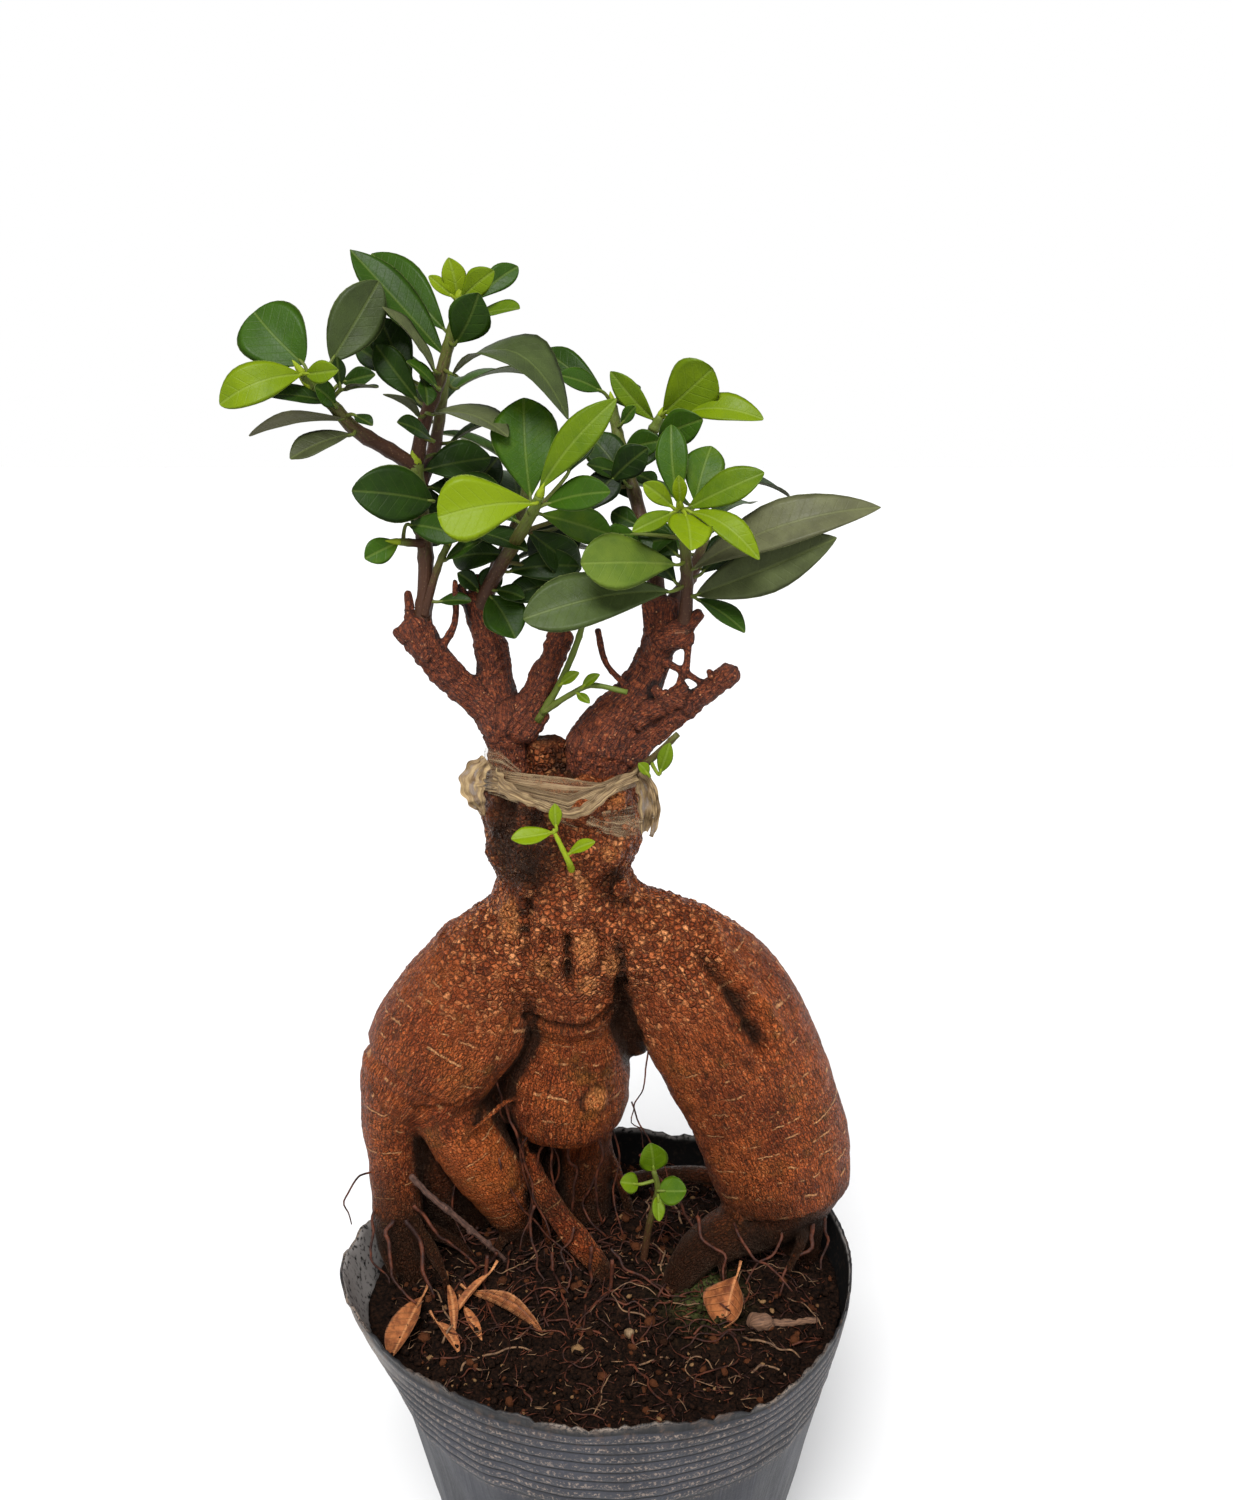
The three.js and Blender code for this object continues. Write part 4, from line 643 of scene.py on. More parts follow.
# a painted shadow line under each pale dash
tone = (dashed * dash_shadow * 0.6).tint(tone, (0.06, 0.014, 0.005))
tone = (dashed * line * (0.35 + grit * 0.7)).tint(tone, (0.70, 0.34, 0.14))
tone = (specks * 0.55).tint(tone, (0.74, 0.33, 0.125))
# soil dirt and painted shade near the soil, and painted shade at the back
tone = (bark.mark("dirt") * grit.step(0.1, 0.45) * 0.96).tint(tone, (0.013, 0.0045, 0.002))
# painted shade in the creases and under other limbs, with the darkening of the folds, furrows, stump and feet
tone = (bark.mark("hollow").step(0.08, 0.85) * 0.93).tint(tone, (0.010, 0.0035, 0.002))
shine = flakes.step(0.05, 0.35) * scaly_part * 0.24
bark.feed(Base_Color=tone, Roughness=0.52 - shine - wrinkled.step(0.1, 0.4) * 0.16)
bark.relief(flakes.step(0.0, 0.3) * scaly_part + dashed * line * 0.45 + fibre * 0.45 * (1 - scaly_part)
            + wrinkled.step(0.0, 0.2) * 0.5 * (1 - scaly_part) + grit * 0.6 + specks * 0.3, 1.7)
dressed(rootstock, [bark.material], "rootstock")


# Fine roots: hair-thin roots that hang from the belly, lie across the left leg and run out from the feet
# of the legs into the soil. They are dark red-brown, and each grows out of the wood or the soil.
def grid_faces(n, flip=False):
    """Quads between the rows and columns of vertex numbers."""
    faces = np.stack([n[:-1, :-1], n[1:, :-1], n[1:, 1:], n[:-1, 1:]], axis=-1).reshape(-1, 4)
    return (faces[:, [0, 3, 2, 1]] if flip else faces).tolist()


def closed(n):
    """Rows of vertex numbers that end where they start."""
    return np.hstack([n, n[:, :1]])


def rod(points, radii, sides):
    """A tube round some points, closed at both ends: its vertices, faces, and places round and along it."""
    forward = np.gradient(points, axis=0)
    forward /= np.maximum(np.linalg.norm(forward, axis=1, keepdims=True), 1e-9)
    side = np.cross(forward[0], [0.3, 1, 0.2])
    angle = np.arange(sides) / sides * 2 * math.pi
    spots, places = [], []
    so_far = 0.0
    for i, (point, way, radius) in enumerate(zip(points, forward, radii)):
        side = side - (side @ way) * way
        side /= max(np.linalg.norm(side), 1e-9)
        up = np.cross(way, side)
        if i:
            so_far += np.linalg.norm(point - points[i - 1])
        spots.append(point + radius * (np.cos(angle)[:, None] * side + np.sin(angle)[:, None] * up))
        places.append(np.stack([angle * radius, np.full(sides, so_far), np.zeros(sides)], axis=1))
    n = np.arange(len(points) * sides).reshape(-1, sides)
    faces = grid_faces(closed(n), True) + [n[0, ::-1].tolist(), n[-1].tolist()]
    return np.vstack(spots), faces, np.vstack(places)


class Heap:
    """Vertices and faces of many like things, gathered for one mesh."""

    def __init__(self):
        self.spots, self.faces, self.kinds, self.marks, self.count = [], [], [], {}, 0

    def add(self, spots, faces, kind=0, **marks):
        """Add a thing. Its kind, or that of each face, is the number of its material."""
        self.spots.append(spots)
        self.faces += [[v + self.count for v in face] for face in faces]
        self.kinds += [kind] * len(faces) if isinstance(kind, int) else list(kind)
        for mark, values in marks.items():
            values = np.asarray(values, dtype=float)
            shape = (len(spots), 3) if values.shape[-1:] == (3,) else (len(spots),)
            self.marks.setdefault(mark, []).append(np.broadcast_to(values, shape))
        self.count += len(spots)

    def piece(self, name, materials, slot, node=None):
        """Make the mesh of all that was added."""
        marks = {mark: np.concatenate(values) for mark, values in self.marks.items()}
        dressed(put_mesh(name, np.vstack(self.spots), self.faces, marks, self.kinds), materials, node)


SOIL_EDGE = 85.0


def soil_height(x, y):
    """The height of the soil: a mound round the plant's foot."""
    mound = 7 * np.exp(-(x / 48) ** 2 - ((y - 16) / 30) ** 2)
    return SOIL_EDGE + mound + 0.7 * np.sin(x / 4.1 + y / 7) * np.cos(y / 4.7 - x / 9)


def wavering(points, amount, seed, per_gap=6):
    """A soft curve through some points, with the small bends of a root."""
    curve = soft_route(np.asarray(points, dtype=float), per_gap)
    steps = np.arange(len(curve))
    for k in range(3):
        row = np.stack([steps / 3.1, steps * 0 + k * 7.7, steps * 0 + seed * 1.3], axis=1)
        curve[:, k] += soft_noise(row, seed) * amount * np.minimum(steps / 2, 1)
    return curve


# rows of x, z as seen, depth and radius
HAIR_ROOTS = [
    [[12.6, 153, 8, 0.3], [12.2, 149, 6, 0.3], [11.7, 140.5, 5, 0.25], [9.5, 135.8, 6, 0.25],
     [8.6, 132.3, 8, 0.2], [10, 124, 10, 0.2]],
    [[8, 136, 10, 0.35], [11, 127, 9, 0.3], [15.5, 119, 8, 0.3], [17, 108, 4, 0.25], [15, 98, 0, 0.25]],
    [[2, 132, 12, 0.4], [4.6, 122, 12, 0.35], [3.4, 112, 10, 0.35], [6.4, 100, 6, 0.3]],
    [[-12, 131, 8, 0.5], [-17, 127, 6, 0.45], [-18.4, 118, 6, 0.4], [-16.5, 106, 6, 0.4], [-19, 95, 2, 0.3]],
    [[-22, 136, 6, 0.55], [-20.6, 128, 5, 0.5], [-17.6, 120, 6, 0.5], [-15.6, 110, 6, 0.45],
     [-11, 99, 2, 0.35]],
    [[-23, 149, 6, 0.4], [-24.4, 143, 3, 0.4], [-23.2, 137, 4, 0.35], [-22.6, 131, 6, 0.3]],
    [[-53.6, 118, 5, 0.4], [-58.5, 115.3, 2, 0.35], [-61.7, 109, 0, 0.3], [-61, 103, 0, 0.2]],
    [[-54, 108, 4, 0.6], [-56, 101, 0, 0.5], [-55, 93, -4, 0.4], [-51, 85, -8, 0.3]],
    [[-50, 104, 0, 0.8], [-52, 97, -4, 0.7], [-50.5, 88, -8, 0.5], [-46, 80, -12, 0.4]],
    [[-47, 104, 0, 0.9], [-44, 98, -2, 0.8], [-43.5, 90, -6, 0.7], [-40, 83, -9, 0.5]],
    [[-45, 108, 2, 0.7], [-40.5, 102, 1, 0.6], [-36, 97, 0, 0.5], [-30, 90, -1, 0.4]],
    [[-24, 121, 2, 0.5], [-21, 113, 3, 0.45], [-16.5, 104, 4, 0.4], [-8, 95, 2, 0.35], [-2, 88, -2, 0.3]],
    [[-15.5, 108, 4, 0.6], [-16.4, 99, 2, 0.5], [-14.4, 90, -2, 0.4], [-10, 82, -7, 0.3]],
    [[-6, 102, 0, 0.5], [-9, 95, -2, 0.45], [-6.4, 87, -6, 0.4], [-8, 80, -10, 0.3]],
    [[3, 96, -1, 0.6], [7, 90, -4, 0.5], [13, 85.5, -6, 0.4], [21, 82, -9, 0.3]],
    [[24, 105, -2, 0.7], [25.5, 99, -6, 0.6], [30.5, 93.5, -9, 0.5], [31, 86, -12, 0.3]],
    [[33, 103, -3, 0.5], [36, 97, -7, 0.5], [42, 91, -9, 0.4], [47, 84, -13, 0.3]],
    [[52, 104, 2, 0.9], [51.4, 97, -1, 0.7], [46.8, 89, -5, 0.5], [44, 82, -9, 0.4]],
    [[55, 105, 4, 0.6], [56, 98, 2, 0.5], [54, 90, -2, 0.4]],
    [[44, 104, 0, 0.6], [45, 97, -3, 0.5], [40, 92, -6, 0.4], [36, 86, -10, 0.3]],
    [[10, 122, 20, 0.6], [16, 114, 18, 0.5], [21, 106, 14, 0.5], [24, 98, 8, 0.4]],
    [[0, 118, 14, 0.5], [-3, 108, 13, 0.45], [2, 99, 10, 0.4]],
    [[-31, 128, 14, 0.5], [-34, 117, 13, 0.45], [-35.5, 106, 10, 0.4], [-33, 97, 6, 0.3]],
    [[-12.9, 130, 6, 0.6], [-13.5, 122, 8, 0.5], [-14.1, 115, 9, 0.4], [-13.4, 104, 9, 0.4]],
    [[-7.7, 129.5, 8, 0.6], [-7, 121, 10, 0.6], [-5.2, 113.6, 11, 0.5], [-6, 104, 11, 0.4]],
    [[-1.9, 130, 9, 0.7], [0.4, 123, 9, 0.6], [-0.6, 112, 10, 0.5], [1.4, 103, 10, 0.4]],
    [[-9, 129, 7, 0.5], [-11.6, 123, 8, 0.5], [-10.3, 109.5, 8, 0.4], [-12, 100, 8, 0.4]],
    [[-16.4, 131, 8, 0.6], [-18, 122, 9, 0.6], [-17, 110, 8, 0.5], [-18, 100, 7, 0.4]],
    [[-14, 128, 14, 0.4], [-9, 119, 13, 0.4], [-13, 110, 12, 0.35], [-9, 101, 9, 0.3]],
]
fine_roots = Heap()
for number, rows in enumerate(HAIR_ROOTS):
    curve = wavering([[*seen(x, z, y), r] for x, z, y, r in rows], 1.1, number + 3)
    fine_roots.add(*rod(curve[:, :3], curve[:, 3] * 0.72, 6)[:2])
# roots behind the plant and between the legs, by rule
BY_RULE = 18
dice = np.random.default_rng(7)
for number in range(BY_RULE):
    angle = dice.uniform(0, 2 * math.pi)
    out = dice.uniform(12, 30)
    x, y = -4 + out * math.cos(angle) * 1.35, 12 + out * math.sin(angle) * 0.62
    steps = dice.uniform(3, 7, 5).cumsum()
    turn = angle + dice.uniform(-0.8, 0.8) + np.linspace(0, dice.uniform(-1.5, 1.5), 5)
    path = [[x, y, soil_height(x, y) + dice.uniform(2, 9), 0.55]]
    for k, (step, way) in enumerate(zip(steps * 0.3, turn)):
        x, y = path[-1][0] + step * math.cos(way), path[-1][1] + step * math.sin(way)
        path.append([x, y, soil_height(x, y) + (0.5 if k < 4 else -1.5), 0.45 - 0.06 * k])
    curve = wavering(path, 0.5, number + 60)
    fine_roots.add(*rod(curve[:, :3], np.maximum(curve[:, 3], 0.15), 5)[:2])
root_skin = Finish("root_hair", Roughness=0.6, Specular_IOR_Level=0.2)
root_cloud = root_skin.place.cloud(0.35, 2).step(0.35, 0.7)
root_skin.feed(Base_Color=root_cloud.tint((0.016, 0.005, 0.003), (0.085, 0.022, 0.009)))
root_skin.relief(root_skin.place.cloud(2.0, 2), 0.2)
fine_roots.piece("fine_roots", [root_skin.material], "bark")


# Scions: two stems of a leafy fig, grafted onto the rootstock and cut back hard. Their bark is dark
# red-brown, rough and ringed by old leaf scars; their cut ends are ragged, with dry twiglets. Heavy stems
# and light twigs are rows of x, z as seen, depth and radius.
SCION_LEFT = {
    "heavy": [
        [[-18.4, 208, 10, 5.4], [-19, 216, 10, 5], [-19.4, 224, 10, 4.9], [-19.6, 231, 10, 5.2]],
        [[-19.6, 228, 10, 4.8], [-24, 233, 10, 4.2], [-29.5, 237.3, 9.5, 3.7], [-34, 242, 9, 3.6],
         [-37.6, 247, 9, 4], [-39.6, 250.8, 9, 3.9]],
        [[-20.2, 228, 10, 4.4], [-21.8, 237, 10.5, 3.7], [-22.8, 246, 11, 3.4], [-25, 253, 11, 3.3],
         [-26, 257.5, 11, 2.7]],
        [[-18, 228, 9, 4.4], [-13.7, 234.5, 8, 3.3], [-10, 243, 7, 2.9], [-7.4, 249, 7, 2.6]],
    ],
    "light": [
        [[-15, 227, 6.5, 2.4], [-12, 231, 6, 1.7]],
        [[-40, 252, 9, 1.5], [-40.6, 258, 9, 0.8]],
        [[-34, 245.5, 8, 1.1], [-30.6, 251.5, 7, 0.8], [-30.3, 260.5, 7, 0.7]],
        [[-27, 255, 10, 1.2], [-29.5, 259.5, 9, 0.8]],
        [[-25, 255, 9.5, 1.2], [-25.5, 261.5, 8.5, 0.8]],
        [[-41.5, 248, 7.5, 1.5], [-43.5, 249.5, 7, 1]],
        [[-36.5, 245, 6, 1.3], [-37.5, 243.5, 4.4, 1]],
        [[-28, 256, 11, 1], [-31.5, 257, 10.5, 0.7]],
        [[-31, 239.5, 6.5, 0.9], [-31.8, 241.6, 5, 0.6]],
        [[-23, 240, 8, 0.9], [-20.4, 243, 6.6, 0.6]],
    ],
}
SCION_RIGHT = {
    "heavy": [
        [[-1.5, 210, 10, 6.5], [-0.2, 218, 10, 7.2], [1, 224, 10, 7.2], [4.6, 230, 10, 6], [9, 236, 10, 4.7],
         [12.7, 244, 10, 3.9], [14.5, 252, 10, 3.6], [15, 256, 10, 3.1]],
        [[-3.6, 217, 8, 3.8], [-3, 224.6, 8, 3.7]],
        [[4, 218, 8, 3.8], [9, 223.3, 7, 2.8], [16, 229.2, 6, 2.4], [23.5, 235.6, 5, 2.4],
         [29.3, 240.6, 4, 2.6]],
        [[14, 248, 9, 3], [18.6, 249, 6.5, 3.2]],
    ],
    "light": [
        [[12, 250, 8.5, 1.8], [11, 255.5, 8, 1.3]],
        [[18, 249, 6, 1.9], [22.3, 253.4, 6, 1.3]],
        [[8.5, 230.5, 7, 3], [14, 233, 5.5, 2.3], [19.5, 236.6, 5, 1.6]],
        [[20, 248.5, 5.5, 0.9], [19.5, 241.5, 5, 0.8], [16.8, 235.7, 5, 0.8], [12, 230.5, 6, 0.9]],
        [[14.5, 243, 7, 1], [19.5, 240.3, 5, 0.7], [24.7, 237, 5, 0.8]],
        [[8, 236, 8, 1.1], [5.2, 238.7, 6, 0.8], [2, 242.7, 5, 0.7], [0.3, 249.7, 5, 0.7]],
        [[21, 234, 4, 0.9], [19.8, 231.6, 3, 0.7]],
        [[26, 238, 4, 1], [24.6, 240.8, 3.4, 0.7]],
        [[16, 233, 4.6, 1.6], [12.8, 236.8, 3.6, 1.1]],
        [[12, 241, 7, 1], [9.4, 243.4, 6.4, 0.7]],
        [[14.6, 234.6, 4, 1.4], [18.6, 233.4, 3, 1]],
    ],
}
old_bark = Finish("scion_bark", Specular_IOR_Level=0.28)
rind_place = old_bark.mark("bark_place", "Vector")
rind = rind_place.stretched(2.3, 0.5, 1).cloud(1.0, 5, 0.7)
ringed = rind_place.stretched(0.25, 1.3, 1).cloud(1.0, 3, 0.6)
cracks = rind_place.moved(old_bark.place.cloud(0.9, 2, output=1)).stretched(1.5, 0.7, 1).pebbles()
dust = old_bark.place.cloud(1.2, 5, 0.7)
scion_tone = dust.ramp((0.3, (0.030, 0.007, 0.004)), (0.45, (0.125, 0.025, 0.008)),
                       (0.6, (0.27, 0.062, 0.018)), (0.8, (0.50, 0.19, 0.065)))
scion_tone = rind.step(0.36, 0.62).darken(scion_tone, 0.72)
scion_tone = (cracks.step(0.1, 0.0) * ringed.step(0.4, 0.55) * 0.8).tint(scion_tone, (0.012, 0.004, 0.003))
scion_tone = (ringed.step(0.6, 0.7) * rind.step(0.5, 0.6) * 0.7).tint(scion_tone, (0.36, 0.17, 0.09))
flecks = old_bark.place.pebbles("F1", 0.8).step(0.22, 0.1) * old_bark.place.cloud(0.35, 1).step(0.48, 0.6)
scion_tone = (flecks * 0.75).tint(scion_tone, (0.46, 0.20, 0.085))
# painted shade in the creases and where the twigs crowd
scion_tone = (old_bark.mark("hollow").step(0.1, 0.9) * 0.9).tint(scion_tone, (0.010, 0.004, 0.003))
old_bark.feed(Base_Color=scion_tone, Roughness=0.5 + dust * 0.4)
old_bark.relief(cracks.step(0, 0.25) * 0.4 + rind * 0.8 + ringed * 0.5 + dust * 0.6, 0.7)


SCION_VOXEL = 0.42


def scion(name, stems):
    """One scion, with a finer skin on its thin twigs."""
    limbs = [as_limb(limb_route(rows), 2.2, (0.3, 0.45)) for rows in stems["heavy"]]
    limbs += [as_limb(limb_route(rows), 0.9, (1, 0.6)) for rows in stems["light"]]
    spots, quads, normals, hollow = grown_solid(limbs, [], SCION_VOXEL)
    place = bark_places(spots, limbs)
    swell = (0.34 * soft_noise(spots / 3.2, 31) + 0.22 * (np.minimum(pebbled(spots / 1.5, 33), 0.45) - 0.2)
             + 0.26 * soft_noise(place * [0.35, 0.9, 1], 35) + 0.26 * soft_noise(place * [1.1, 0.22, 1], 36))
    stoutness = np.array([limb["route"][:, 3].mean() for limb in limbs])
    stout = soft_step(1.0, 2.6, stoutness[np.rint(place[:, 2] / LIMB_STEP).astype(int)])
    spots = spots + normals * (swell * (0.35 + 0.75 * stout))[:, None]
    made = put_mesh(name + "_wood", spots, quads, {"bark_place": place, "hollow": hollow})
    dressed(made, [old_bark.material], name)


scion("scion_left", SCION_LEFT)
scion("scion_right", SCION_RIGHT)


# Graft tape: a clear plastic film, wound several times round the graft while it was stretched, and now
# crumpled and yellowed. A strand of it hangs in front, and its ends are frayed at both sides.
film = Finish("graft_film", Specular_IOR_Level=0.3)
ribbon = film.mark("ribbon", "Vector")
pleats = ribbon.stretched(0.05, 4.6, 1).cloud(1.0, 5, 0.66)
cloudy = film.place.cloud(0.35, 3)
loose = film.mark("thick").step(0.15, 0.4)
milky = loose.tint((0.31, 0.222, 0.125), (0.36, 0.255, 0.125))
dense = 0.16 + pleats.step(0.42, 0.66) * 0.42 + cloudy.step(0.38, 0.7) * 0.26 + loose * 0.72
film.feed(Base_Color=pleats.step(0.36, 0.68).tint((0.095, 0.052, 0.024), milky),
          Alpha=dense, Roughness=0.34 + pleats * 0.4)
film.relief(pleats, 0.5)
tape = Heap()
NECK = seen(-7.7, 213, 10)
NECK_RADIUS = 17.9
STRIP_POINTS = 9


def sheet(spots, seed, pleats, thick):
    """A ribbon of film from rows of points across it."""
    rows, wide = spots.shape[:2]
    n = np.arange(rows * wide).reshape(rows, wide)
    along = np.repeat(np.arange(rows) * 0.8, wide) + seed * 13
    across = np.tile(np.linspace(0, pleats, wide), rows)
    tape.add(spots.reshape(-1, 3), grid_faces(n), thick=thick,
             ribbon=np.stack([along, across, np.full(n.size, seed)], axis=1))


def band(edges, seed, pleats, thick, swell=0.0):
    """A winding round the neck. edges: angle in degrees, and the heights of its edges as seen."""
    turns, high, low = np.array(edges, dtype=float).T
    steps = np.arange(turns[0], turns[-1] + 1, 2.4)
    v = np.linspace(0, 1, 14)[None, :] + np.zeros((len(steps), 1))
    a = np.radians(steps)[:, None] + 0 * v
    flat = np.stack([np.cos(a).ravel() * 3, np.sin(a).ravel() * 3, v.ravel() * 1.4], axis=1)
    crumple = soft_noise(flat * [0.7, 0.7, 4.2], seed) * 0.3 + soft_noise(flat * 0.9, seed + 1) * 0.4
    radius = NECK_RADIUS + swell + crumple.reshape(a.shape)
    x, y = NECK[0] + radius * np.cos(a), NECK[1] + radius * 0.92 * np.sin(a)
    shown = np.interp(steps, turns, high)[:, None] * v + np.interp(steps, turns, low)[:, None] * (1 - v)
    shown = shown + 0.5 * soft_noise(flat * [0.8, 0.8, 0.3], seed + 2).reshape(a.shape)
    sheet(np.stack([x, y, EYE[2] - widened(EYE[2] - shown, y)], axis=-1), seed, pleats, thick)


def strip(rows, seed, pleats, thick, crumple=0.6):
    """A loose piece of the film: places as seen and its width there."""
    curve = soft_route(np.array([[*seen(x, z, y), wide] for x, z, y, wide in rows]), 12)
    forward = np.gradient(curve[:, :3], axis=0)
    forward /= np.linalg.norm(forward, axis=1, keepdims=True)
    side = np.cross(forward, [0, 1, 0.1])
    side /= np.linalg.norm(side, axis=1, keepdims=True)
    face = np.cross(side, forward)
    v, steps = np.meshgrid(np.linspace(-0.5, 0.5, STRIP_POINTS), np.arange(len(curve)))
    wide = curve[:, 3] * (1 + 0.12 * np.sin(steps[:, 0] * 0.7 + seed))
    lift = soft_noise(np.stack([steps.ravel() / 3.4, v.ravel() * 3.5, np.full(v.size, seed)], axis=1), seed)
    lift = lift.reshape(v.shape)
    spots = curve[:, None, :3] + v[..., None] * (wide[:, None] * side)[:, None]
    sheet(spots + (lift * crumple)[..., None] * face[:, None], seed, pleats, thick)


band([[-270, 223, 217], [-180, 217.2, 213.2], [-140, 218, 211.9], [-121, 217.6, 210.4], [-100, 216.8, 208.7],
      [-84, 216.2, 207.5], [-72, 215.4, 208.4], [-60, 215, 211], [-44, 216.8, 213.2], [0, 218.6, 214.4],
      [90, 223, 217]], 41, 3.0, 0.25)
band([[-262, 222, 219], [-180, 216.4, 214], [-121, 215, 212], [-84, 212, 208.4], [-66, 214.5, 211.8],
      [-44, 217, 214], [0, 219, 215.6], [80, 222, 219]], 42, 2.0, 0.3, 0.5)
band([[-92, 208, 206.4], [-78, 208, 204.8], [-60, 208.4, 203.2], [-44, 209.4, 202.4], [-20, 211, 202],
      [10, 212, 203], [60, 215, 208]], 47, 2.4, 0.12, 0.3)
band([[-185, 223, 216], [-160, 223.6, 216], [-138, 222.6, 216], [-118, 218.6, 216]], 44, 3.4, -0.05, -0.2)
strip([[-24.4, 220.4, 3, 3], [-26.9, 217.8, 1, 5.4], [-27.9, 214.5, -1, 5.6], [-26.9, 211, -1, 3.8],
       [-25.4, 207.8, 0, 1]], 51, 1.1, 0.6, 0.9)
strip([[-23, 216.5, 0, 5], [-20.5, 214, -4, 4], [-16, 211.5, -7.6, 2.6], [-11.6, 209.6, -9.6, 2.2],
       [-6.4, 208, -10.6, 2.4], [-2.6, 209, -10.4, 2.6], [1, 212, -9.6, 2.6], [4.6, 214.8, -7.6, 2.6],
       [9, 217, -3, 3.4]], 53, 1.8, 0.45, 0.5)
strip([[8.8, 218.6, 0.6, 4.2], [10.6, 214.5, -0.6, 3.8], [11.2, 208.5, 0, 3.6], [10.6, 203.6, 2, 2]],
      55, 1.6, 0.45, 1.2)
strip([[9.6, 219, -1, 2.4], [12.6, 213.6, -2, 1.8], [13.4, 207.7, -1.4, 1.6], [12.2, 202.4, 0, 1]],
      56, 0.8, 0.6, 0.9)
strip([[-2, 206.4, -10.4, 2.2], [3, 205, -9.4, 3.4], [7.4, 204.6, -7, 4.6], [10, 205.6, -3, 3]],
      57, 2.2, 0.2, 0.8)
tape.piece("graft_tape_film", [film.material], "tape_film", "graft_tape")


# Leafy stems: the shoots of a fig with small thick waxy leaves, dark green and lime where they are young.
# Green stems turn brown with age. Each leaf is a closed thin blade with a keel, a fold and a recurved tip,
# on a short stalk that grows out of the stem.
def leaf_colours(name, dark, mid, lime, rough, under=False):
    """The finish of a leaf's upper side or underside. Its marks are places on the blade, tone, the strength
    of a painted sheen, and chance.
    """
    finish = Finish(name, Specular_IOR_Level=0.1, Coat_Roughness=0.3)
    spot, more = finish.mark("leaf", "Vector"), finish.mark("leaf_more", "Vector")
    aside, along, tone = abs(spot.part(0)), spot.part(1), spot.part(2)
    edge, chance = more.part(0), more.part(2)
    mottle = finish.place.cloud(0.22, 3, 0.55)
    depth = tone + (mottle - 0.5) * 0.3 + (chance - 0.5) * 0.12
    colour = depth.ramp((0.02, dark), (0.46, mid), (0.92, lime))
    rib = aside.step(0.42, 0.1)
    phase = (along - aside * 0.75) * 0.42
    vein = abs(phase.maths("FRACT", phase) - 0.5).step(0.1, 0.0) * edge.step(0.98, 0.5)
    net = finish.place.pebbles(scale=1.1).step(0.12, 0.0)
    pale = (rib * (0.2 if under else 0.22) + vein * (0.12 if under else 0.05)) * (0.4 + tone)
    colour = pale.tint(colour, (0.20, 0.26, 0.05))
    colour = (edge.step(0.95, 1.0) * 0.5).tint(colour, (0.20, 0.25, 0.07))
    worn = finish.place.cloud(0.55, 4, 0.65).step(0.69, 0.76) * (1 - tone)
    colour = (worn * 0.4).tint(colour, (0.06, 0.045, 0.018))
    dust = finish.place.moved((40, 0, 0)).cloud(1.3, 4, 0.7).step(0.55, 0.8) * (1 - tone)
    colour = (dust * (0.05 if under else 0.07)).tint(colour, (0.16, 0.17, 0.12))
    # a painted sheen, pale grey-olive, on leaves that face the light
    colour = (more.part(1) * (mottle * 0.7 + 0.35)).tint(colour, (0.25, 0.235, 0.125))
    finish.feed(Base_Color=colour, Roughness=rough + dust * 0.25 + mottle * 0.12,
                Coat_Weight=(1 - dust) * (1 - mottle) * 0.07)
    veins = vein * (0.5 if under else -0.3) + net * 0.12
    finish.relief(veins + mottle * 0.5 + rib * (0.8 if under else -0.6), 0.16)
    return finish.material


leaf_top = leaf_colours("leaf_top", (0.004, 0.011, 0.001), (0.024, 0.064, 0.0015), (0.132, 0.190, 0.001), 0.4)
leaf_under = leaf_colours("leaf_under", (0.036, 0.036, 0.020), (0.075, 0.100, 0.028), (0.165, 0.215, 0.020),
                          0.5, True)
green_stem = Finish("green_stem", Roughness=0.55, Specular_IOR_Level=0.22)
stem_spot, stem_age = green_stem.mark("leaf", "Vector"), green_stem.mark("leaf_more", "Vector").part(1)
stem_cloud = stem_spot.stretched(2.2, 0.5, 1).cloud(1.0, 3)
greened = (stem_age + (stem_cloud - 0.5) * 0.5).step(0.3, 0.95)
stem_tone = greened.tint((0.042, 0.016, 0.007), (0.085, 0.12, 0.014))
stem_tone = (green_stem.place.pebbles("F1", 1.4).step(0.25, 0.1) * 0.5).tint(stem_tone, (0.15, 0.09, 0.04))
lime = stem_spot.part(2).step(0.5, 0.9) * stem_age.step(0.6, 0.95)
green_stem.feed(Base_Color=lime.tint(stem_tone, (0.20, 0.26, 0.006)))
green_stem.relief(stem_cloud, 0.25)
LEAF_SKINS = [leaf_top, leaf_under, green_stem.material]


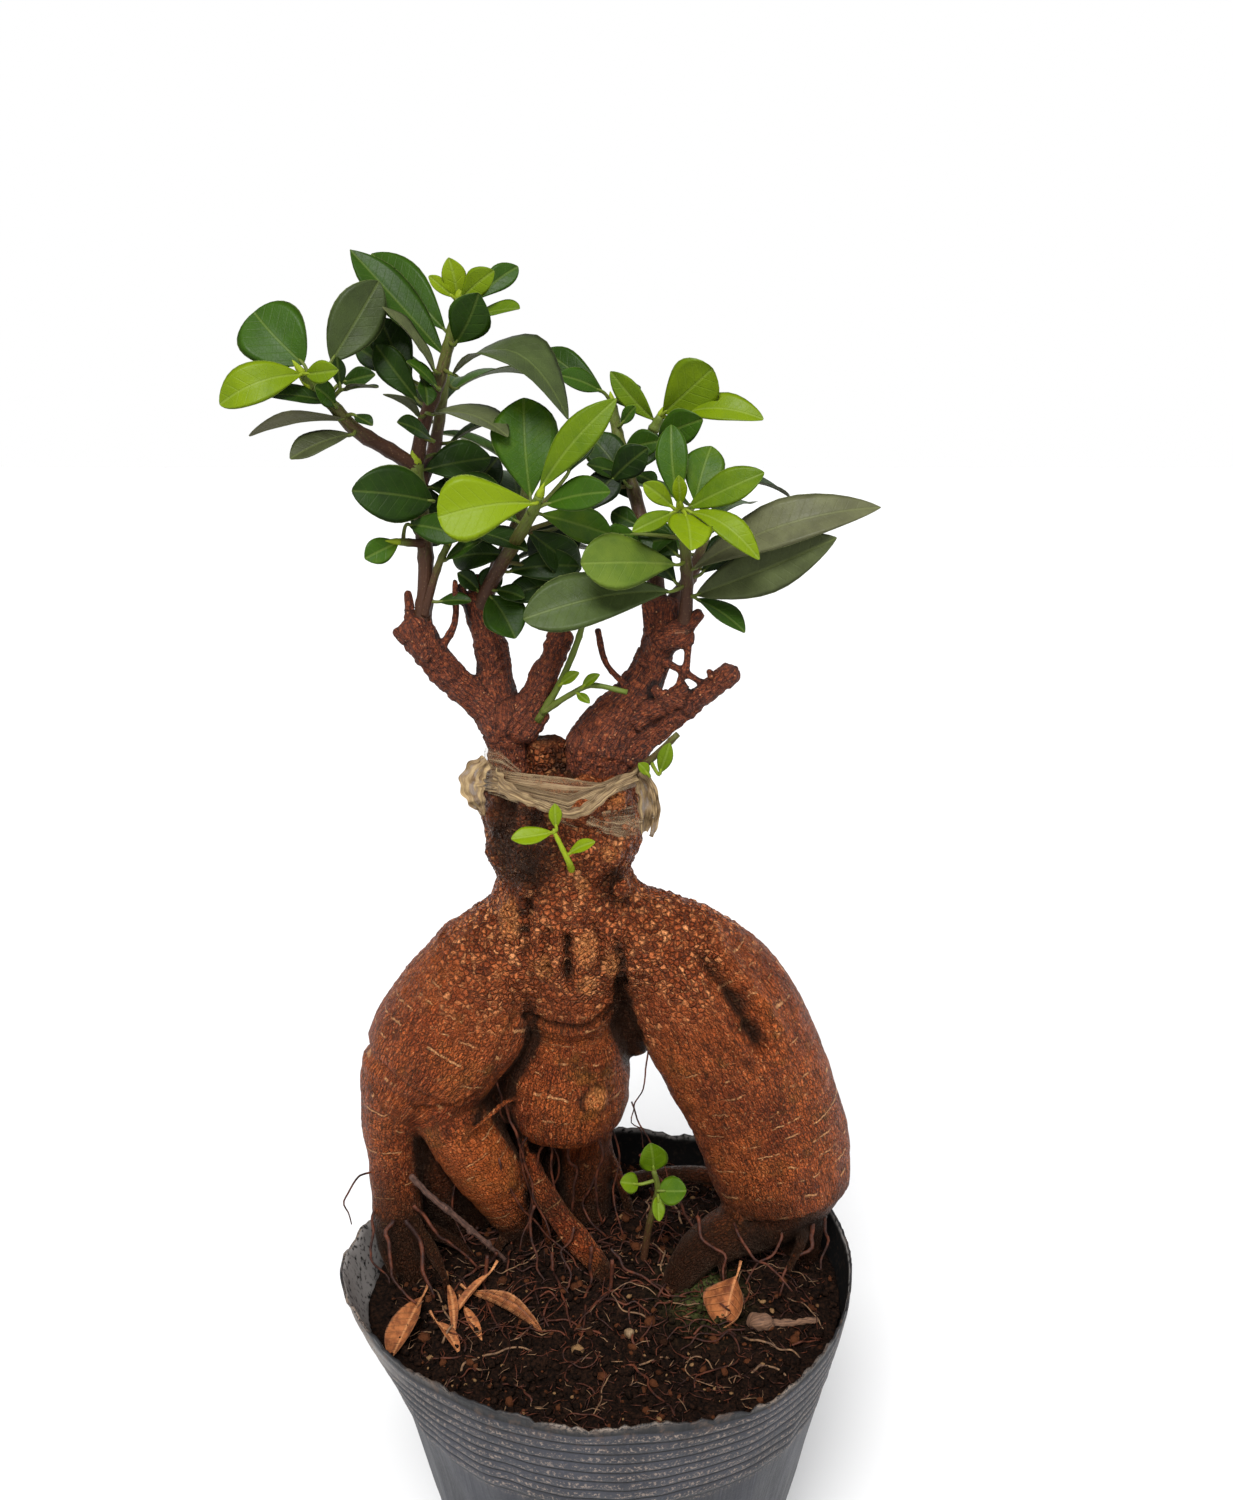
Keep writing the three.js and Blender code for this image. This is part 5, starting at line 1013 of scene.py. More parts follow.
def add_leaf(heap, base, tip, top, width, arch, fold, tone, seed, outline=None, rows=16, columns=8):
    """A closed thin blade from base to tip, its upper side towards top, width across at its widest. Its
    outline is two powers that shape its sides and, where it has a third number, the strength of a sheen
    painted on it."""
    dice = np.random.default_rng(seed)
    outline = outline or (dice.uniform(1.2, 1.55), dice.uniform(0.62, 0.76))
    sheen = outline[2] if len(outline) > 2 else 0.0
    length = np.linalg.norm(tip - base)
    ahead = (tip - base) / length
    across = np.cross(top, ahead)
    v = (0.5 - 0.5 * np.cos(np.linspace(0, 1, rows + 1) * math.pi))[:, None] ** 0.9
    u = np.linspace(-1, 1, columns + 1)[None, :]
    half = np.maximum(1.04 * np.sin(math.pi * v ** outline[0]) ** outline[1] * width / 2, 0.14)
    wave = dice.uniform(0.03, 0.09) * half * u**2
    wave = wave * np.sin(v * dice.uniform(6, 11) + (u > 0) * dice.uniform(1, 3))
    keel = np.sqrt(u * u + 0.02)
    lift = arch * length * 4 * v * (1 - v) + fold * half * (keel - 0.5) + wave
    lift = lift + dice.uniform(-0.05, 0.025) * length * v**4 + dice.uniform(-0.16, 0.16) * v * u * half
    lift = lift - 0.16 * np.exp(-(u * half / 0.5) ** 2) * np.minimum(half, 1)
    sway = dice.uniform(-0.035, 0.035) * length * np.sin(math.pi * v)
    flat = (1 - 0.5 * fold * fold * np.abs(u)) * u * half
    upper = base + (ahead * length) * v[..., None] + across * (flat + sway)[..., None] + top * lift[..., None]
    thick = 0.16 + 0.3 * np.exp(-(u * half / 0.45) ** 2) * (1.1 - v)
    lower = upper - top * np.minimum(thick, half * 0.8)[..., None]
    n = np.arange((rows + 1) * (columns + 1)).reshape(rows + 1, columns + 1)
    under = n.copy()
    under[1:-1, 1:-1] = n.size + np.arange((rows - 1) * (columns - 1)).reshape(rows - 1, columns - 1)
    above, below = grid_faces(n), grid_faces(under, True)
    spot = np.stack(np.broadcast_arrays(u * half, v * length, tone), axis=-1)
    more = np.stack(np.broadcast_arrays(np.abs(u), sheen + 0 * v, dice.uniform()), axis=-1)

    def both(over, beneath):
        """The upper side's rows, then those of the lower side that lie off the rim."""
        return np.vstack([over.reshape(-1, 3), beneath[1:-1, 1:-1].reshape(-1, 3)])

    heap.add(both(upper, lower), above + below, [0] * len(above) + [1] * len(below),
             leaf=both(spot, spot), leaf_more=both(more, more))


def add_stem(heap, points, radii, young_from, young_to, tone, seed, sides=7):
    """A green stem or leaf stalk. Its age runs from 0, brown, to 1, green."""
    spots, faces, places = rod(points, radii, sides)
    age = young_from + (young_to - young_from) * places[:, 1] / max(places[:, 1].max(), 1e-6)
    heap.add(spots, faces, 2, leaf=np.stack([places[:, 0], places[:, 1] + seed * 9, age * 0 + tone], axis=1),
             leaf_more=np.stack([age * 0, age, age * 0], axis=1))


def facing(base, tip, turn):
    """The way that a blade's upper side looks: towards the eye, turned by an angle."""
    to_eye = EYE - (base + tip) / 2
    ahead = (tip - base) / np.linalg.norm(tip - base)
    side = np.cross(ahead, to_eye)
    side *= (1 if side[2] >= 0 else -1) / np.linalg.norm(side)
    front = to_eye - (to_eye @ ahead) * ahead
    front /= np.linalg.norm(front)
    return front * math.cos(math.radians(turn)) + side * math.sin(math.radians(turn))


def add_stalk(heap, routes, base, tip, tone, seed):
    """A leaf stalk from the nearest place on the stems to the foot of a leaf."""
    joints = np.vstack(routes)
    foot = joints[np.argmin(np.linalg.norm(joints[:, :3] - base, axis=1)), :3]
    ahead = (tip - base) / np.linalg.norm(tip - base)
    gap = np.linalg.norm(base - foot)
    path = [foot, (foot + base) / 2 - ahead * gap * 0.12, base - ahead * 0.3, base + ahead * 1.6]
    path = soft_route(np.array(path), 4)
    radii = np.linspace(0.55, 0.34, len(path))
    radii[-1] = 0.15
    add_stem(heap, path, radii, 0.45 + 0.4 * tone, 0.9, tone, seed, 6)


def leafy(node, twigs, leaves, tones, ages=(0.0, 0.8), shapes={}, bud=True, extra=(), slot="mature_leaf",
          lime=0):
    """A leafy stem: its twigs as rows like a limb's, its leaves and their tones, and leaves placed by rule.
    A leaf's row is x, z, y of its base and of its tip as seen, its width as seen, its turn in degrees, and
    may go on with its arch and its fold. Its tone runs from 0, old and dark, to 1, young and lime."""
    heap = Heap()
    routes = [limb_route(rows, 6) for rows in twigs]
    seed = sum(ord(letter) * (i + 3) for i, letter in enumerate(node))
    for number, route in enumerate(routes):
        joints = 1 + 0.16 * np.maximum(np.sin(np.arange(len(route)) * 1.9 + seed), 0) ** 4
        add_stem(heap, route[:, :3], route[:, 3] * joints, *ages, lime, seed + number, 9)
        if bud:
            ahead = route[-1, :3] - route[-2, :3]
            ahead /= np.linalg.norm(ahead)
            path = route[-1, :3] + ahead * np.array([[-0.5], [0.6], [1.6], [2.6], [3.4]])
            add_stem(heap, path, route[-1, 3] * np.array([0.95, 1.0, 0.75, 0.42, 0.1]), 0.9, 1, 1, seed, 8)
    for number, (row, tone) in enumerate(zip(leaves, tones)):
        wide, turn, arch, fold = [*row[6:], *[0.08, 0.2][len(row) - 8:]]
        base, tip = seen(row[0], row[1], row[2]), seen(row[3], row[4], row[5])
        shown = widened(wide, ((base + tip) / 2)[1])
        opened = min(shown / max(abs(math.cos(math.radians(turn))), 0.3), 0.5 * np.linalg.norm(tip - base))
        add_leaf(heap, base, tip, facing(base, tip, turn), max(shown, opened), arch, fold, tone,
                 seed + number, shapes.get(number, shapes.get("all")))
        add_stalk(heap, routes, base, tip, tone, seed + number)
    for number, (base, tip, top, wide, tone) in enumerate(extra):
        add_leaf(heap, base, tip, top, wide, 0.1, 0.22, tone, seed + number)
        add_stalk(heap, routes, base, tip, tone, seed + number)
    heap.piece(node + "_leaves", LEAF_SKINS, slot, node)


SHOOTS = {
    "shoot_stem": {
        "twigs": [[[-38, 250, 9, 2.2], [-36.8, 258.5, 9, 1.75], [-36.5, 267, 9.5, 1.7],
                   [-37.2, 276, 10.5, 1.7], [-38, 285, 11, 1.6]],
                  [[-37.2, 253, 8, 1.1], [-36, 257, 7, 0.9], [-33.7, 264, 6.5, 0.8], [-31.5, 268.5, 6, 0.8]],
                  [[-36.5, 268.5, 9, 1], [-42, 268.9, 5, 0.8]]],
        "leaves": [
            [-34.5, 277.5, 8, -51.3, 279.7, -2, 12, 5, 0.1], [-42, 268.8, 5, -49.5, 265.3, 0, 5.6, 10],
            [-40, 272.5, 6, -28.3, 270, 1, 6.4, 15], [-29.3, 271.5, 5, -14.6, 267.5, -1, 4.2, 65],
            [-32.3, 265, 6, -24.3, 269.2, 1, 3.6, 55], [-34.3, 256, 7, -27, 256.4, 5, 3, 50],
            [-36, 284, 13, -22, 286.5, 17, 9, 25], [-35.5, 280.5, 14, -23.5, 278.5, 22, 9, 25],
            [-33, 287, 16, -24, 279, 22, 10, 10], [-38, 282, 15, -33.5, 268, 20, 9, 5],
            [-28, 275.5, 17, -20.5, 286.5, 21, 8, 5]],
        "tones": [0.15, 0.45, 0.2, 0.15, 0.15, 0.15, 0.12, 0.12, 0.06, 0.05, 0.05],
        "shapes": {0: (1.15, 0.6)},
    },
    "shoot_top": {
        "twigs": [[[-38, 284, 12, 1.6], [-35.7, 294, 12, 1.5], [-32.2, 302.7, 12, 1.4], [-30.6, 308, 12, 1.2],
                  [-28.8, 314.5, 11.5, 1]]],
        "leaves": [
            [-30.9, 307, 13, -49.6, 327.6, 20, 8, 30, 0.06], [-30.6, 312, 15, -45.3, 327.2, 26, 9, 15],
            [-24.4, 318, 12, -15.6, 324.6, 15, 5, 10], [-25, 314.6, 10, -15.3, 316.4, 4, 3.2, 60],
            [-28.8, 309.5, 8, -23.6, 319.6, 1, 9, 0], [-29.6, 303.5, 9, -5.6, 295.2, -4, 8, 58, 0.34],
            [-33, 304, 9, -43.6, 316.7, 6, 3.6, 70], [-32.6, 300.5, 9, -38.7, 306.2, 4, 3, 55],
            [-38, 301.5, 14, -44, 314.5, 20, 8.5, 5], [-39.5, 303, 16, -49.5, 309.3, 20, 5, 10],
            [-36.8, 298, 13, -45.2, 309.3, 14, 6.5, 0], [-36, 303, 8, -35, 297.2, 2, 4, 30],
            [-36.6, 295, 9, -44, 299.5, 2, 5, 105], [-34, 290, 8, -41.2, 294, 0, 5, 55],
            [-34.5, 295.5, 8, -18.3, 291, -3, 5.4, 62, 0.12]],
        "tones": [0.3, 0.42, 0.3, 0.6, 0.25, 0.12, 0.1, 0.35, 0.16, 0.15, 0.2, 0.12, 0.1, 0.14, 0.2],
        "shapes": {0: (1.2, 0.85), 1: (1.2, 0.8), 5: (1.1, 0.75, 0.15), 6: (1.3, 0.7, 0.3),
                   14: (1.3, 0.7, 0.3)},
    },
    "shoot_top_tip": {
        "twigs": [[[-28.6, 314, 11.5, 1.2], [-27.8, 318.5, 11, 1]]],
        "leaves": [
            [-28, 318, 11, -29.6, 326.3, 9, 5, 5], [-27.3, 318.3, 10, -20.4, 323.8, 6, 5.6, 20],
            [-28.6, 318.5, 10.5, -33.8, 322.8, 8, 2.8, 20]],
        "tones": [0.95, 0.8, 0.9],
    },
    "shoot_left": {
        "twigs": [[[-38, 284.5, 11, 1.6], [-42, 287.3, 9.5, 1.6], [-50.5, 292.5, 6, 1.5],
                   [-54.5, 297, 4, 1.3], [-59, 301, 2, 1.1]]],
        "leaves": [
            [-60.3, 305.5, 3, -70, 316, 8, 14.5, 5, 0.08], [-54.5, 306, 6, -44, 321.7, 12, 10.6, 5, 0.05],
            [-53.8, 297.5, 3, -68.9, 299.8, -4, 4, 50], [-54, 297, 1, -58.2, 301, -5, 5.5, 30],
            [-52.5, 294.5, 4, -72.6, 291.2, -2, 3, 100], [-50.7, 291.4, 4, -64.2, 286.1, -3, 4.6, 55],
            [-52.5, 301.8, 4, -45.8, 303.6, 0, 4, 30], [-52.5, 300.3, 3, -45, 300.8, -1, 3, 100],
            [-50.5, 295.3, 3, -46.6, 293.4, -1, 2.8, 40], [-53, 300.8, 1, -53.3, 307, -2, 3, 10]],
        "tones": [0.42, 0.12, 0.12, 0.3, 0.1, 0.12, 0.15, 0.1, 0.14, 0.12],
        "shapes": {0: (1.3, 0.5), 1: (1.1, 0.66, 0.12), 4: (1.3, 0.7, 0.3), 5: (1.3, 0.7, 0.2)},
    },
    "shoot_left_tip": {
        "twigs": [[[-58.6, 300.8, 2.2, 1.2], [-60.6, 303.6, 1, 0.9]]],
        "leaves": [
            [-60.8, 303.4, 0, -78.2, 297.4, -5, 9.2, 25, 0.22],
            [-60, 303.5, -0.5, -53.3, 304.3, -6, 4.6, 15]],
        "tones": [0.85, 0.8],
        "shapes": {0: (1.3, 0.6)},
    },
    "shoot_centre": {
        "twigs": [[[-25.5, 254, 10, 2], [-21.5, 262, 6, 1.6], [-16.5, 270, 0, 1.4], [-13.2, 275.5, -4, 1.2]]],
        "leaves": [
            [-13.8, 278, -3, -14.9, 299, 3, 14, 0, 0.06], [-10.6, 276.8, -6, 3.2, 279.4, -12, 7.2, 30],
            [-12, 274.8, -2, 3.4, 270.3, 3, 7.4, 15], [-23, 257.5, 7, -17.6, 248.2, 0, 9.6, 10],
            [-25, 258, 8, -29.6, 262.3, 5, 4.2, 20], [-22, 258.5, 6, -15.6, 257, 1, 4.2, 25],
            [-19, 262.5, 5, -3.6, 263.8, 6, 6.6, 15], [-21, 262.5, 9, -17.6, 267.4, 13, 5, 0],
            [-16.5, 273, 2, -30, 281.5, 10, 9, 10], [-15, 271.5, 1, -3, 263, 12, 8, 15],
            [-19, 266, 5, -31, 265.5, 13, 7, 20], [-2, 273.5, 12, -13.5, 263, 20, 11, 10],
            [-6, 283, 6, -1.5, 291, 12, 6, 20], [-7, 260.5, 8, -19.5, 257, 5, 6.5, 15],
            [-20.5, 264, 9, -24, 258.5, 7, 5.5, 10], [-3, 274.5, 14, 4.5, 283.5, 18, 7, 10]],
        "tones": [0.45, 0.4, 0.45, 0.2, 0.12, 0.15, 0.12, 0.14, 0.15, 0.12, 0.1, 0.03, 0.12, 0.08, 0.07,
                  0.05],
    },
    "shoot_centre_tip": {
        "twigs": [[[-13.4, 275, -4.2, 1.3], [-11.9, 278.6, -6, 1]]],
        "leaves": [
            [-12.8, 277, -7, -33.4, 274.3, -14, 14.5, 12, 0.1, 0.3],
            [-12.2, 279.3, -6.5, 4.4, 298.6, -9, 7.6, 10, 0.1]],
        "tones": [0.95, 0.72],
        "shapes": {0: (2.5, 0.45), 1: (1.3, 0.8)},
    },
    "shoot_back": {
        "twigs": [[[14, 254, 11, 2], [12, 264, 16, 1.6], [9, 276, 22, 1.5], [6.5, 285, 26, 1.3],
                   [4.6, 291.5, 28, 1.2], [3.6, 297, 29, 1]],
                  [[6.5, 285, 26, 1.3], [9.5, 289, 27, 1.1], [12.3, 292.5, 27, 1]]],
        "leaves": [
            [1.4, 300, 28, -7.7, 303.4, 24, 5, 30], [2, 299.5, 31, -10.7, 308.7, 38, 6, 20],
            [4.2, 297.8, 28, 9.4, 301, 25, 5, 10], [13, 290.3, 24, 22, 294.3, 14, 7.5, 10],
            [5.4, 293.3, 26, 8.4, 297, 23, 3, 20], [6, 288, 23, 13.5, 290, 18, 6, 15],
            [6, 283, 22, -1.8, 285.2, 16, 4, 30], [8.4, 283.2, 23, 12.8, 281.3, 17, 4, 30],
            [9.8, 272, 18, 3.4, 275.2, 22, 5, 15], [3, 281.5, 18, 11, 288.5, 14, 7, 10],
            [6.5, 281, 20, -1.5, 291.5, 24, 8.5, 10], [8.5, 277.5, 24, 1, 286.5, 32, 7.5, 15],
            [7.5, 283.5, 28, 12.5, 292, 32, 7, 5]],
        "tones": [0.35, 0.2, 0.4, 0.38, 0.45, 0.3, 0.15, 0.2, 0.14, 0.1, 0.08, 0.1, 0.12],
    },
    "shoot_back_tip": {
        "twigs": [[[12, 292, 27, 1.2], [13.6, 295, 26.5, 0.9]]],
        "leaves": [
            [12.4, 294, 27, 3.2, 304, 24, 5, 5], [14, 295.4, 25.5, 24.3, 304.6, 18, 11.5, 0, 0.05],
            [16.5, 294.6, 25, 34.8, 295, 14, 5, 45, 0.16]],
        "tones": [0.62, 0.72, 0.82],
        "shapes": {1: (1.9, 0.5)},
    },
    "shoot_right": {
        "twigs": [[[19, 249, 6.5, 2], [19.4, 254, 6, 1.5], [19.5, 261, 4.5, 1.4], [19.1, 267, 2.5, 1.2],
                  [18.4, 272, 0.5, 1]]],
        "leaves": [
            [21, 277, 2.5, 24.3, 289, 8, 8.6, 0], [22.5, 277.5, 5, 41, 278.5, 12, 4, 80, 0.2],
            [20.6, 263, 3, 60.3, 276.6, -3, 9.4, 30, 0.15],
            [21.4, 257.4, 4, 51.6, 269.6, -7, 10.6, 20, 0.06], [21.4, 256.8, 4, 32.4, 249.5, -1, 4.4, 55],
            [17.6, 264, 1, -3.2, 264.3, -10, 12.4, 10, 0.08],
            [16.4, 258.3, 2, -15.8, 252.2, -7, 12.2, 20, 0.08], [17.6, 266, 4, 9.6, 272.8, 9, 7.4, 5],
            [17.5, 270, 3, 5, 266.5, 12, 7, 20], [8.6, 270.5, 6, 1.6, 270, 4, 4.6, 15],
            [17.4, 260, 6, 9.2, 268.5, 12, 7, 5], [22.5, 262, 6, 30, 270, 10, 7.5, 10]],
        "tones": [0.5, 0.12, 0.1, 0.1, 0.35, 0.62, 0.26, 0.2, 0.16, 0.4, 0.12, 0.06],
        "shapes": {5: (2.0, 0.6, 0.12), 6: (1.7, 0.6, 0.16), 2: (1.15, 0.8, 0.42), 3: (1.1, 0.75, 0.24)},
    },
    "shoot_right_tip": {
        "twigs": [[[18.5, 271.4, 0.7, 1.2], [17.9, 276, -1, 0.9]]],
        "leaves": [
            [17.6, 276.5, 1, 15.8, 293.4, 5, 6.8, 0, 0.06], [19.5, 276, -1, 35.6, 283.4, -5, 7.2, 20],
            [16.6, 276, -2, 10.2, 281.2, -5, 4.2, 15], [18, 276.5, -2.5, 17.5, 282.8, -6, 3.2, 5],
            [16.6, 275.2, -2, 7.9, 271.3, -8, 4.2, 20], [19, 274.8, -3, 20.4, 267.4, -16, 9.6, 20, 0.1],
            [20, 275.2, -2.5, 35, 265, -12, 5.2, 30, 0.2]],
        "tones": [0.5, 0.6, 0.85, 0.98, 0.75, 0.85, 0.8],
    },
}
for node, shoot in SHOOTS.items():
    tip = node.endswith("_tip")
    leafy(node, shoot["twigs"], shoot["leaves"], shoot["tones"], (0.8, 1) if tip else (0.0, 0.8),
          shoot.get("shapes", {}), slot="young_leaf" if tip else "mature_leaf")


# Rear shoots: three more leafy stems behind the crown, of the same kind as those in front. They grow out
# of the scions' branches, and their leaves are set by rule, in a spiral up each stem.
def ruled_leaves(rows, count, reach, seed):
    """Places of leaves in a spiral up a stem: base, tip, upper side, width and tone."""
    route = limb_route(rows, 12)[:, :3]
    state, factor, modulus = [seed], 16807, 2**31 - 1

    def draw(low, high):
        """The next value of a seeded row of numbers, between two bounds."""
        state[0] = state[0] * factor % modulus
        return low + (high - low) * state[0] / modulus

    leaves = []
    for i in range(count):
        base = route[round((0.35 + 0.65 * i / (count - 1)) * (len(route) - 1))]
        turn = i * 2.4 + draw(-0.3, 0.3)
        away = np.array([math.cos(turn), abs(math.sin(turn)) * 0.9 + 0.15, draw(0.05, 0.55)])
        away /= np.linalg.norm(away)
        length = reach * draw(0.85, 1.1)
        start = base + away * 3.5
        top = np.array([0, 0, 1]) - away[2] * away
        top /= np.linalg.norm(top)
        leaves.append((start, start + away * length, top, length * 0.46, 0.12 + 0.07 * i))
    return leaves


REAR_SHOOTS = {
    "shoot_rear_left": (
        11, [[-37, 281, 12, 1.6], [-34, 288, 22, 1.4], [-32, 297, 30, 1.1], [-31, 303, 34, 0.9]]),
    "shoot_rear_centre": (
        23, [[-25, 255, 12, 1.8], [-21, 264, 20, 1.5], [-16, 275, 30, 1.2], [-14, 283, 35, 1]]),
    "shoot_rear_right": (
        37, [[15, 254, 12, 1.8], [20, 261, 20, 1.5], [23, 269, 30, 1.2], [23, 276, 36, 1]]),
}
for node, (seed, rows) in REAR_SHOOTS.items():
    leafy(node, [rows], [], [], extra=ruled_leaves(rows, 5, 23, seed))


# Sprigs: small young growth on the wood, thin green or brown twigs with a few tiny lime leaves. They
# sprout from the bark of the neck and of the scions.
SPRIGS = {
    "inner_sprig": {
        "twigs": [[[-13, 229.5, 5, 0.9], [-8, 238, 3.5, 0.75], [-4, 247.5, 3, 0.7], [-2.5, 252.8, 3, 0.6]],
                  [[-12, 231.3, 4.5, 0.8], [-6, 235.3, 2.5, 0.65], [-1.3, 237.5, 1.5, 0.6],
                   [6.8, 236, 1, 0.6]]],
        "leaves": [
            [-8, 237.6, 2.5, -4, 240.4, -1, 2.4, 20], [-3.2, 237, 1.5, 0.6, 240, -1, 2.2, 20],
            [-4.5, 236, 2, -1.5, 233.6, -1, 2, 20]],
    },
    "neck_sprout": {
        "twigs": [[[-5.8, 194.6, -4.4, 0.8], [-6.4, 196.4, -8.4, 0.7], [-7.8, 199.6, -9.4, 0.6],
                   [-9.8, 204, -9.8, 0.45]]],
        "leaves": [
            [-9.8, 203.6, -10, -19.4, 202, -12, 4.4, 25], [-9.2, 204.3, -10, -9.4, 210.3, -11, 3, 5],
            [-6.8, 198.2, -9, -0.4, 201.4, -11.5, 2.8, 20]],
    },
    "side_sprig": {
        "twigs": [[[4, 214.5, 7.5, 1], [8.8, 218, -0.5, 0.9], [13.5, 222, -2, 0.8], [18, 226.5, -2.5, 0.7]]],
        "leaves": [
            [14, 217.4, -3, 16.2, 224.4, -5, 3.4, 10], [11.6, 217, -3, 9.4, 219.8, -4, 2.6, 20]],
    },
}
for node, sprig in SPRIGS.items():
    lime = node == "neck_sprout"
    leafy(node, sprig["twigs"], sprig["leaves"], [0.95 if lime else 0.75] * len(sprig["leaves"]),
          {"neck_sprout": (0.95, 1), "inner_sprig": (0.7, 1)}.get(node, (0.2, 0.6)),
          bud=False, slot="young_leaf", lime=int(lime))


# Weed: a seedling that came up in the soil between the legs, with a bare green stalk and four soft round
# leaves. Its foot is below the soil's surface.
weed_twigs = [[[10.6, 89, 2, 0.9], [12.3, 102, 0.5, 0.9], [14.4, 112.3, -1, 0.8], [13.4, 117.5, -2, 0.6]]]
weed_leaves = [[13.4, 117.6, -2, 12.7, 124.6, -4, 7, 10, 0.05], [9.6, 113.8, -2, 5.4, 114.4, -4, 5, 10],
               [14.8, 112, -2, 21.3, 112, -4, 7, 10, 0.05], [14.5, 110.5, -2, 14.8, 103.6, -5, 3.2, 10]]
leafy("weed_seedling", weed_twigs, weed_leaves, [0.62, 0.66, 0.58, 0.7], (0.15, 0.75),
      {"all": (0.92, 0.52)}, False, slot="weed_leaf")


# Pot: a nursery pot of thin soft black film, filled and set by hand. Under its torn rim it has fine rings;
# below them the film is smooth, dented and scuffed. Its lip is pushed out on the left.
FILM = 0.9
SECTORS = 288
RIM_HEIGHT, RIM_RADIUS, WALL_LEAN, BULGE_AT = 93, 58.3, 13, -2.95


def wall_radius(z):
    """The radius of the wall's outside at a height."""
    return RIM_RADIUS - (RIM_HEIGHT - z) * math.tan(math.radians(WALL_LEAN))


def lip_bulge(a):
    """How much of the lip's bulge is at an angle, from 0 to 1."""
    return np.exp((np.cos(a - BULGE_AT) - 1) / 0.1)


def softened(a, radius, z):
    """A place on the pot's wall, bent and torn as the soft film is."""
    high, top = np.clip((z - 58) / 35, 0, 1), np.clip((z - 86) / 7, 0, 1)
    push = 1 + high**2 * (8 * lip_bulge(a) + 0.5 * np.sin(5 * a)) / RIM_RADIUS
    rise = 1.2 + 1.6 * np.sin(a) + 4 * lip_bulge(a) + 0.7 * np.sin(3 * a + 0.6)
    rise = rise + 0.5 * np.sin(8 * a) + 0.3 * np.sin(17 * a + 2)
    place = np.stack([np.cos(a) * 14 + 9, np.sin(a) * 14, z / 9], axis=-1)
    shape = np.broadcast(a, z).shape
    dent = soft_noise(np.broadcast_to(place, (*shape, 3)).reshape(-1, 3) * 0.62, 71).reshape(shape)
    radius = radius + 0.6 * dent * np.clip((88 - z) / 10, 0, 1) * np.clip(z / 8, 0, 1)
    return np.stack([radius * push * np.cos(a), radius * push * np.sin(a), z + top * rise], axis=-1)


pot_film = Finish("pot_film", Specular_IOR_Level=0.36, Coat_Roughness=0.4)
wall = pot_film.mark("wall", "Vector")
edge_wear = pot_film.mark("wear")
scuffs = wall.stretched(0.9, 0.035, 1).cloud(1.0, 4, 0.6)
specks = pot_film.place.cloud(1.5, 4, 0.7)
haze = pot_film.place.cloud(0.05, 3)
groove_shade = wall.part(2).step(0.5, 0.12)
crest = wall.part(2).step(0.62, 0.95) * wall.part(1).step(66, 69)
tone = haze.step(0.35, 0.7).tint((0.012, 0.0125, 0.017), (0.025, 0.026, 0.034))
tone = (scuffs.step(0.58, 0.72) * 0.5).tint(tone, (0.062, 0.063, 0.078))
# tan specks on the crests of the rings: dust, and painted highlights
tone = (specks.step(0.5, 0.64) * crest * 0.75).tint(tone, (0.26, 0.20, 0.16))
# painted shade in the grooves between the rings
tone = (groove_shade * wall.part(1).step(66, 69)).tint(tone, (0.006, 0.006, 0.007))
mud = pot_film.place.cloud(0.25, 4, 0.65).step(0.5, 0.7) * wall.part(1).step(84, 92)
tone = (mud * 0.7).tint(tone, (0.075, 0.045, 0.03))
rubbed = edge_wear.step(0.2, 1.0) * haze.step(0.2, 0.6) * wall.part(1).step(91.4, 90)
tone = rubbed.tint(tone, (0.21, 0.20, 0.19))
tone = (edge_wear * specks.step(0.42, 0.56) * haze.step(0.4, 0.6)).tint(tone, (0.15, 0.115, 0.09))
pot_film.feed(Base_Color=tone, Roughness=0.42 + specks * 0.3, Coat_Weight=scuffs.step(0.6, 0.4) * 0.15)
pot_film.relief(specks * 0.4 + scuffs * 0.5, 0.25)
# the inside: the same black film, painted darker than the outside as shade, with pale wear at the rim
inner_film = Finish("pot_inside", Roughness=0.8, Specular_IOR_Level=0.12)
inner_dust = inner_film.place.cloud(0.8, 4)
inner_tone = inner_dust.step(0.5, 0.8).tint((0.003, 0.0027, 0.0027), (0.022, 0.014, 0.010))
inner_wear = inner_film.mark("wear").step(0.3, 0.9) * inner_dust.step(0.3, 0.5)
inner_film.feed(Base_Color=inner_wear.tint(inner_tone, (0.19, 0.175, 0.165)))

pot = Heap()
angles = np.arange(SECTORS) / SECTORS * 2 * math.pi
heights = np.concatenate([[0, 0.5, 1.2], np.arange(3, 67, 2.5), np.arange(67.2, 91.3, 0.35),
                          [91.8, 92.3, RIM_HEIGHT]])
RINGS_FROM, RINGS_TO, RING_GAP = 68.4, 91.0, 2.8
ring_rise = np.abs(np.sin(math.pi * ((RINGS_TO - heights) / RING_GAP))) ** 0.55
ring_rise = np.where((heights > RINGS_FROM) & (heights < RINGS_TO), ring_rise, 0)
outer_radii = wall_radius(heights) + 0.45 * ring_rise - np.where(heights < 1.2, (1.2 - heights) ** 2 * 0.6, 0)
inner_heights = np.concatenate([[RIM_HEIGHT, 92, 90, 87], np.arange(84, 1, -6), [FILM]])
inner_radii = wall_radius(inner_heights) - np.where(inner_heights > 84, 0.55, FILM)
heights_all = np.concatenate([heights, inner_heights])
radii = np.concatenate([outer_radii, inner_radii])
rows = np.array([softened(angles, radius, np.full(SECTORS, z)) for z, radius in zip(heights_all, radii)])


def rim_noise(scale, seed):
    """Noise round the rim."""
    return soft_noise(np.stack([np.cos(angles) * scale, np.sin(angles) * scale, angles * 0], axis=1), seed)


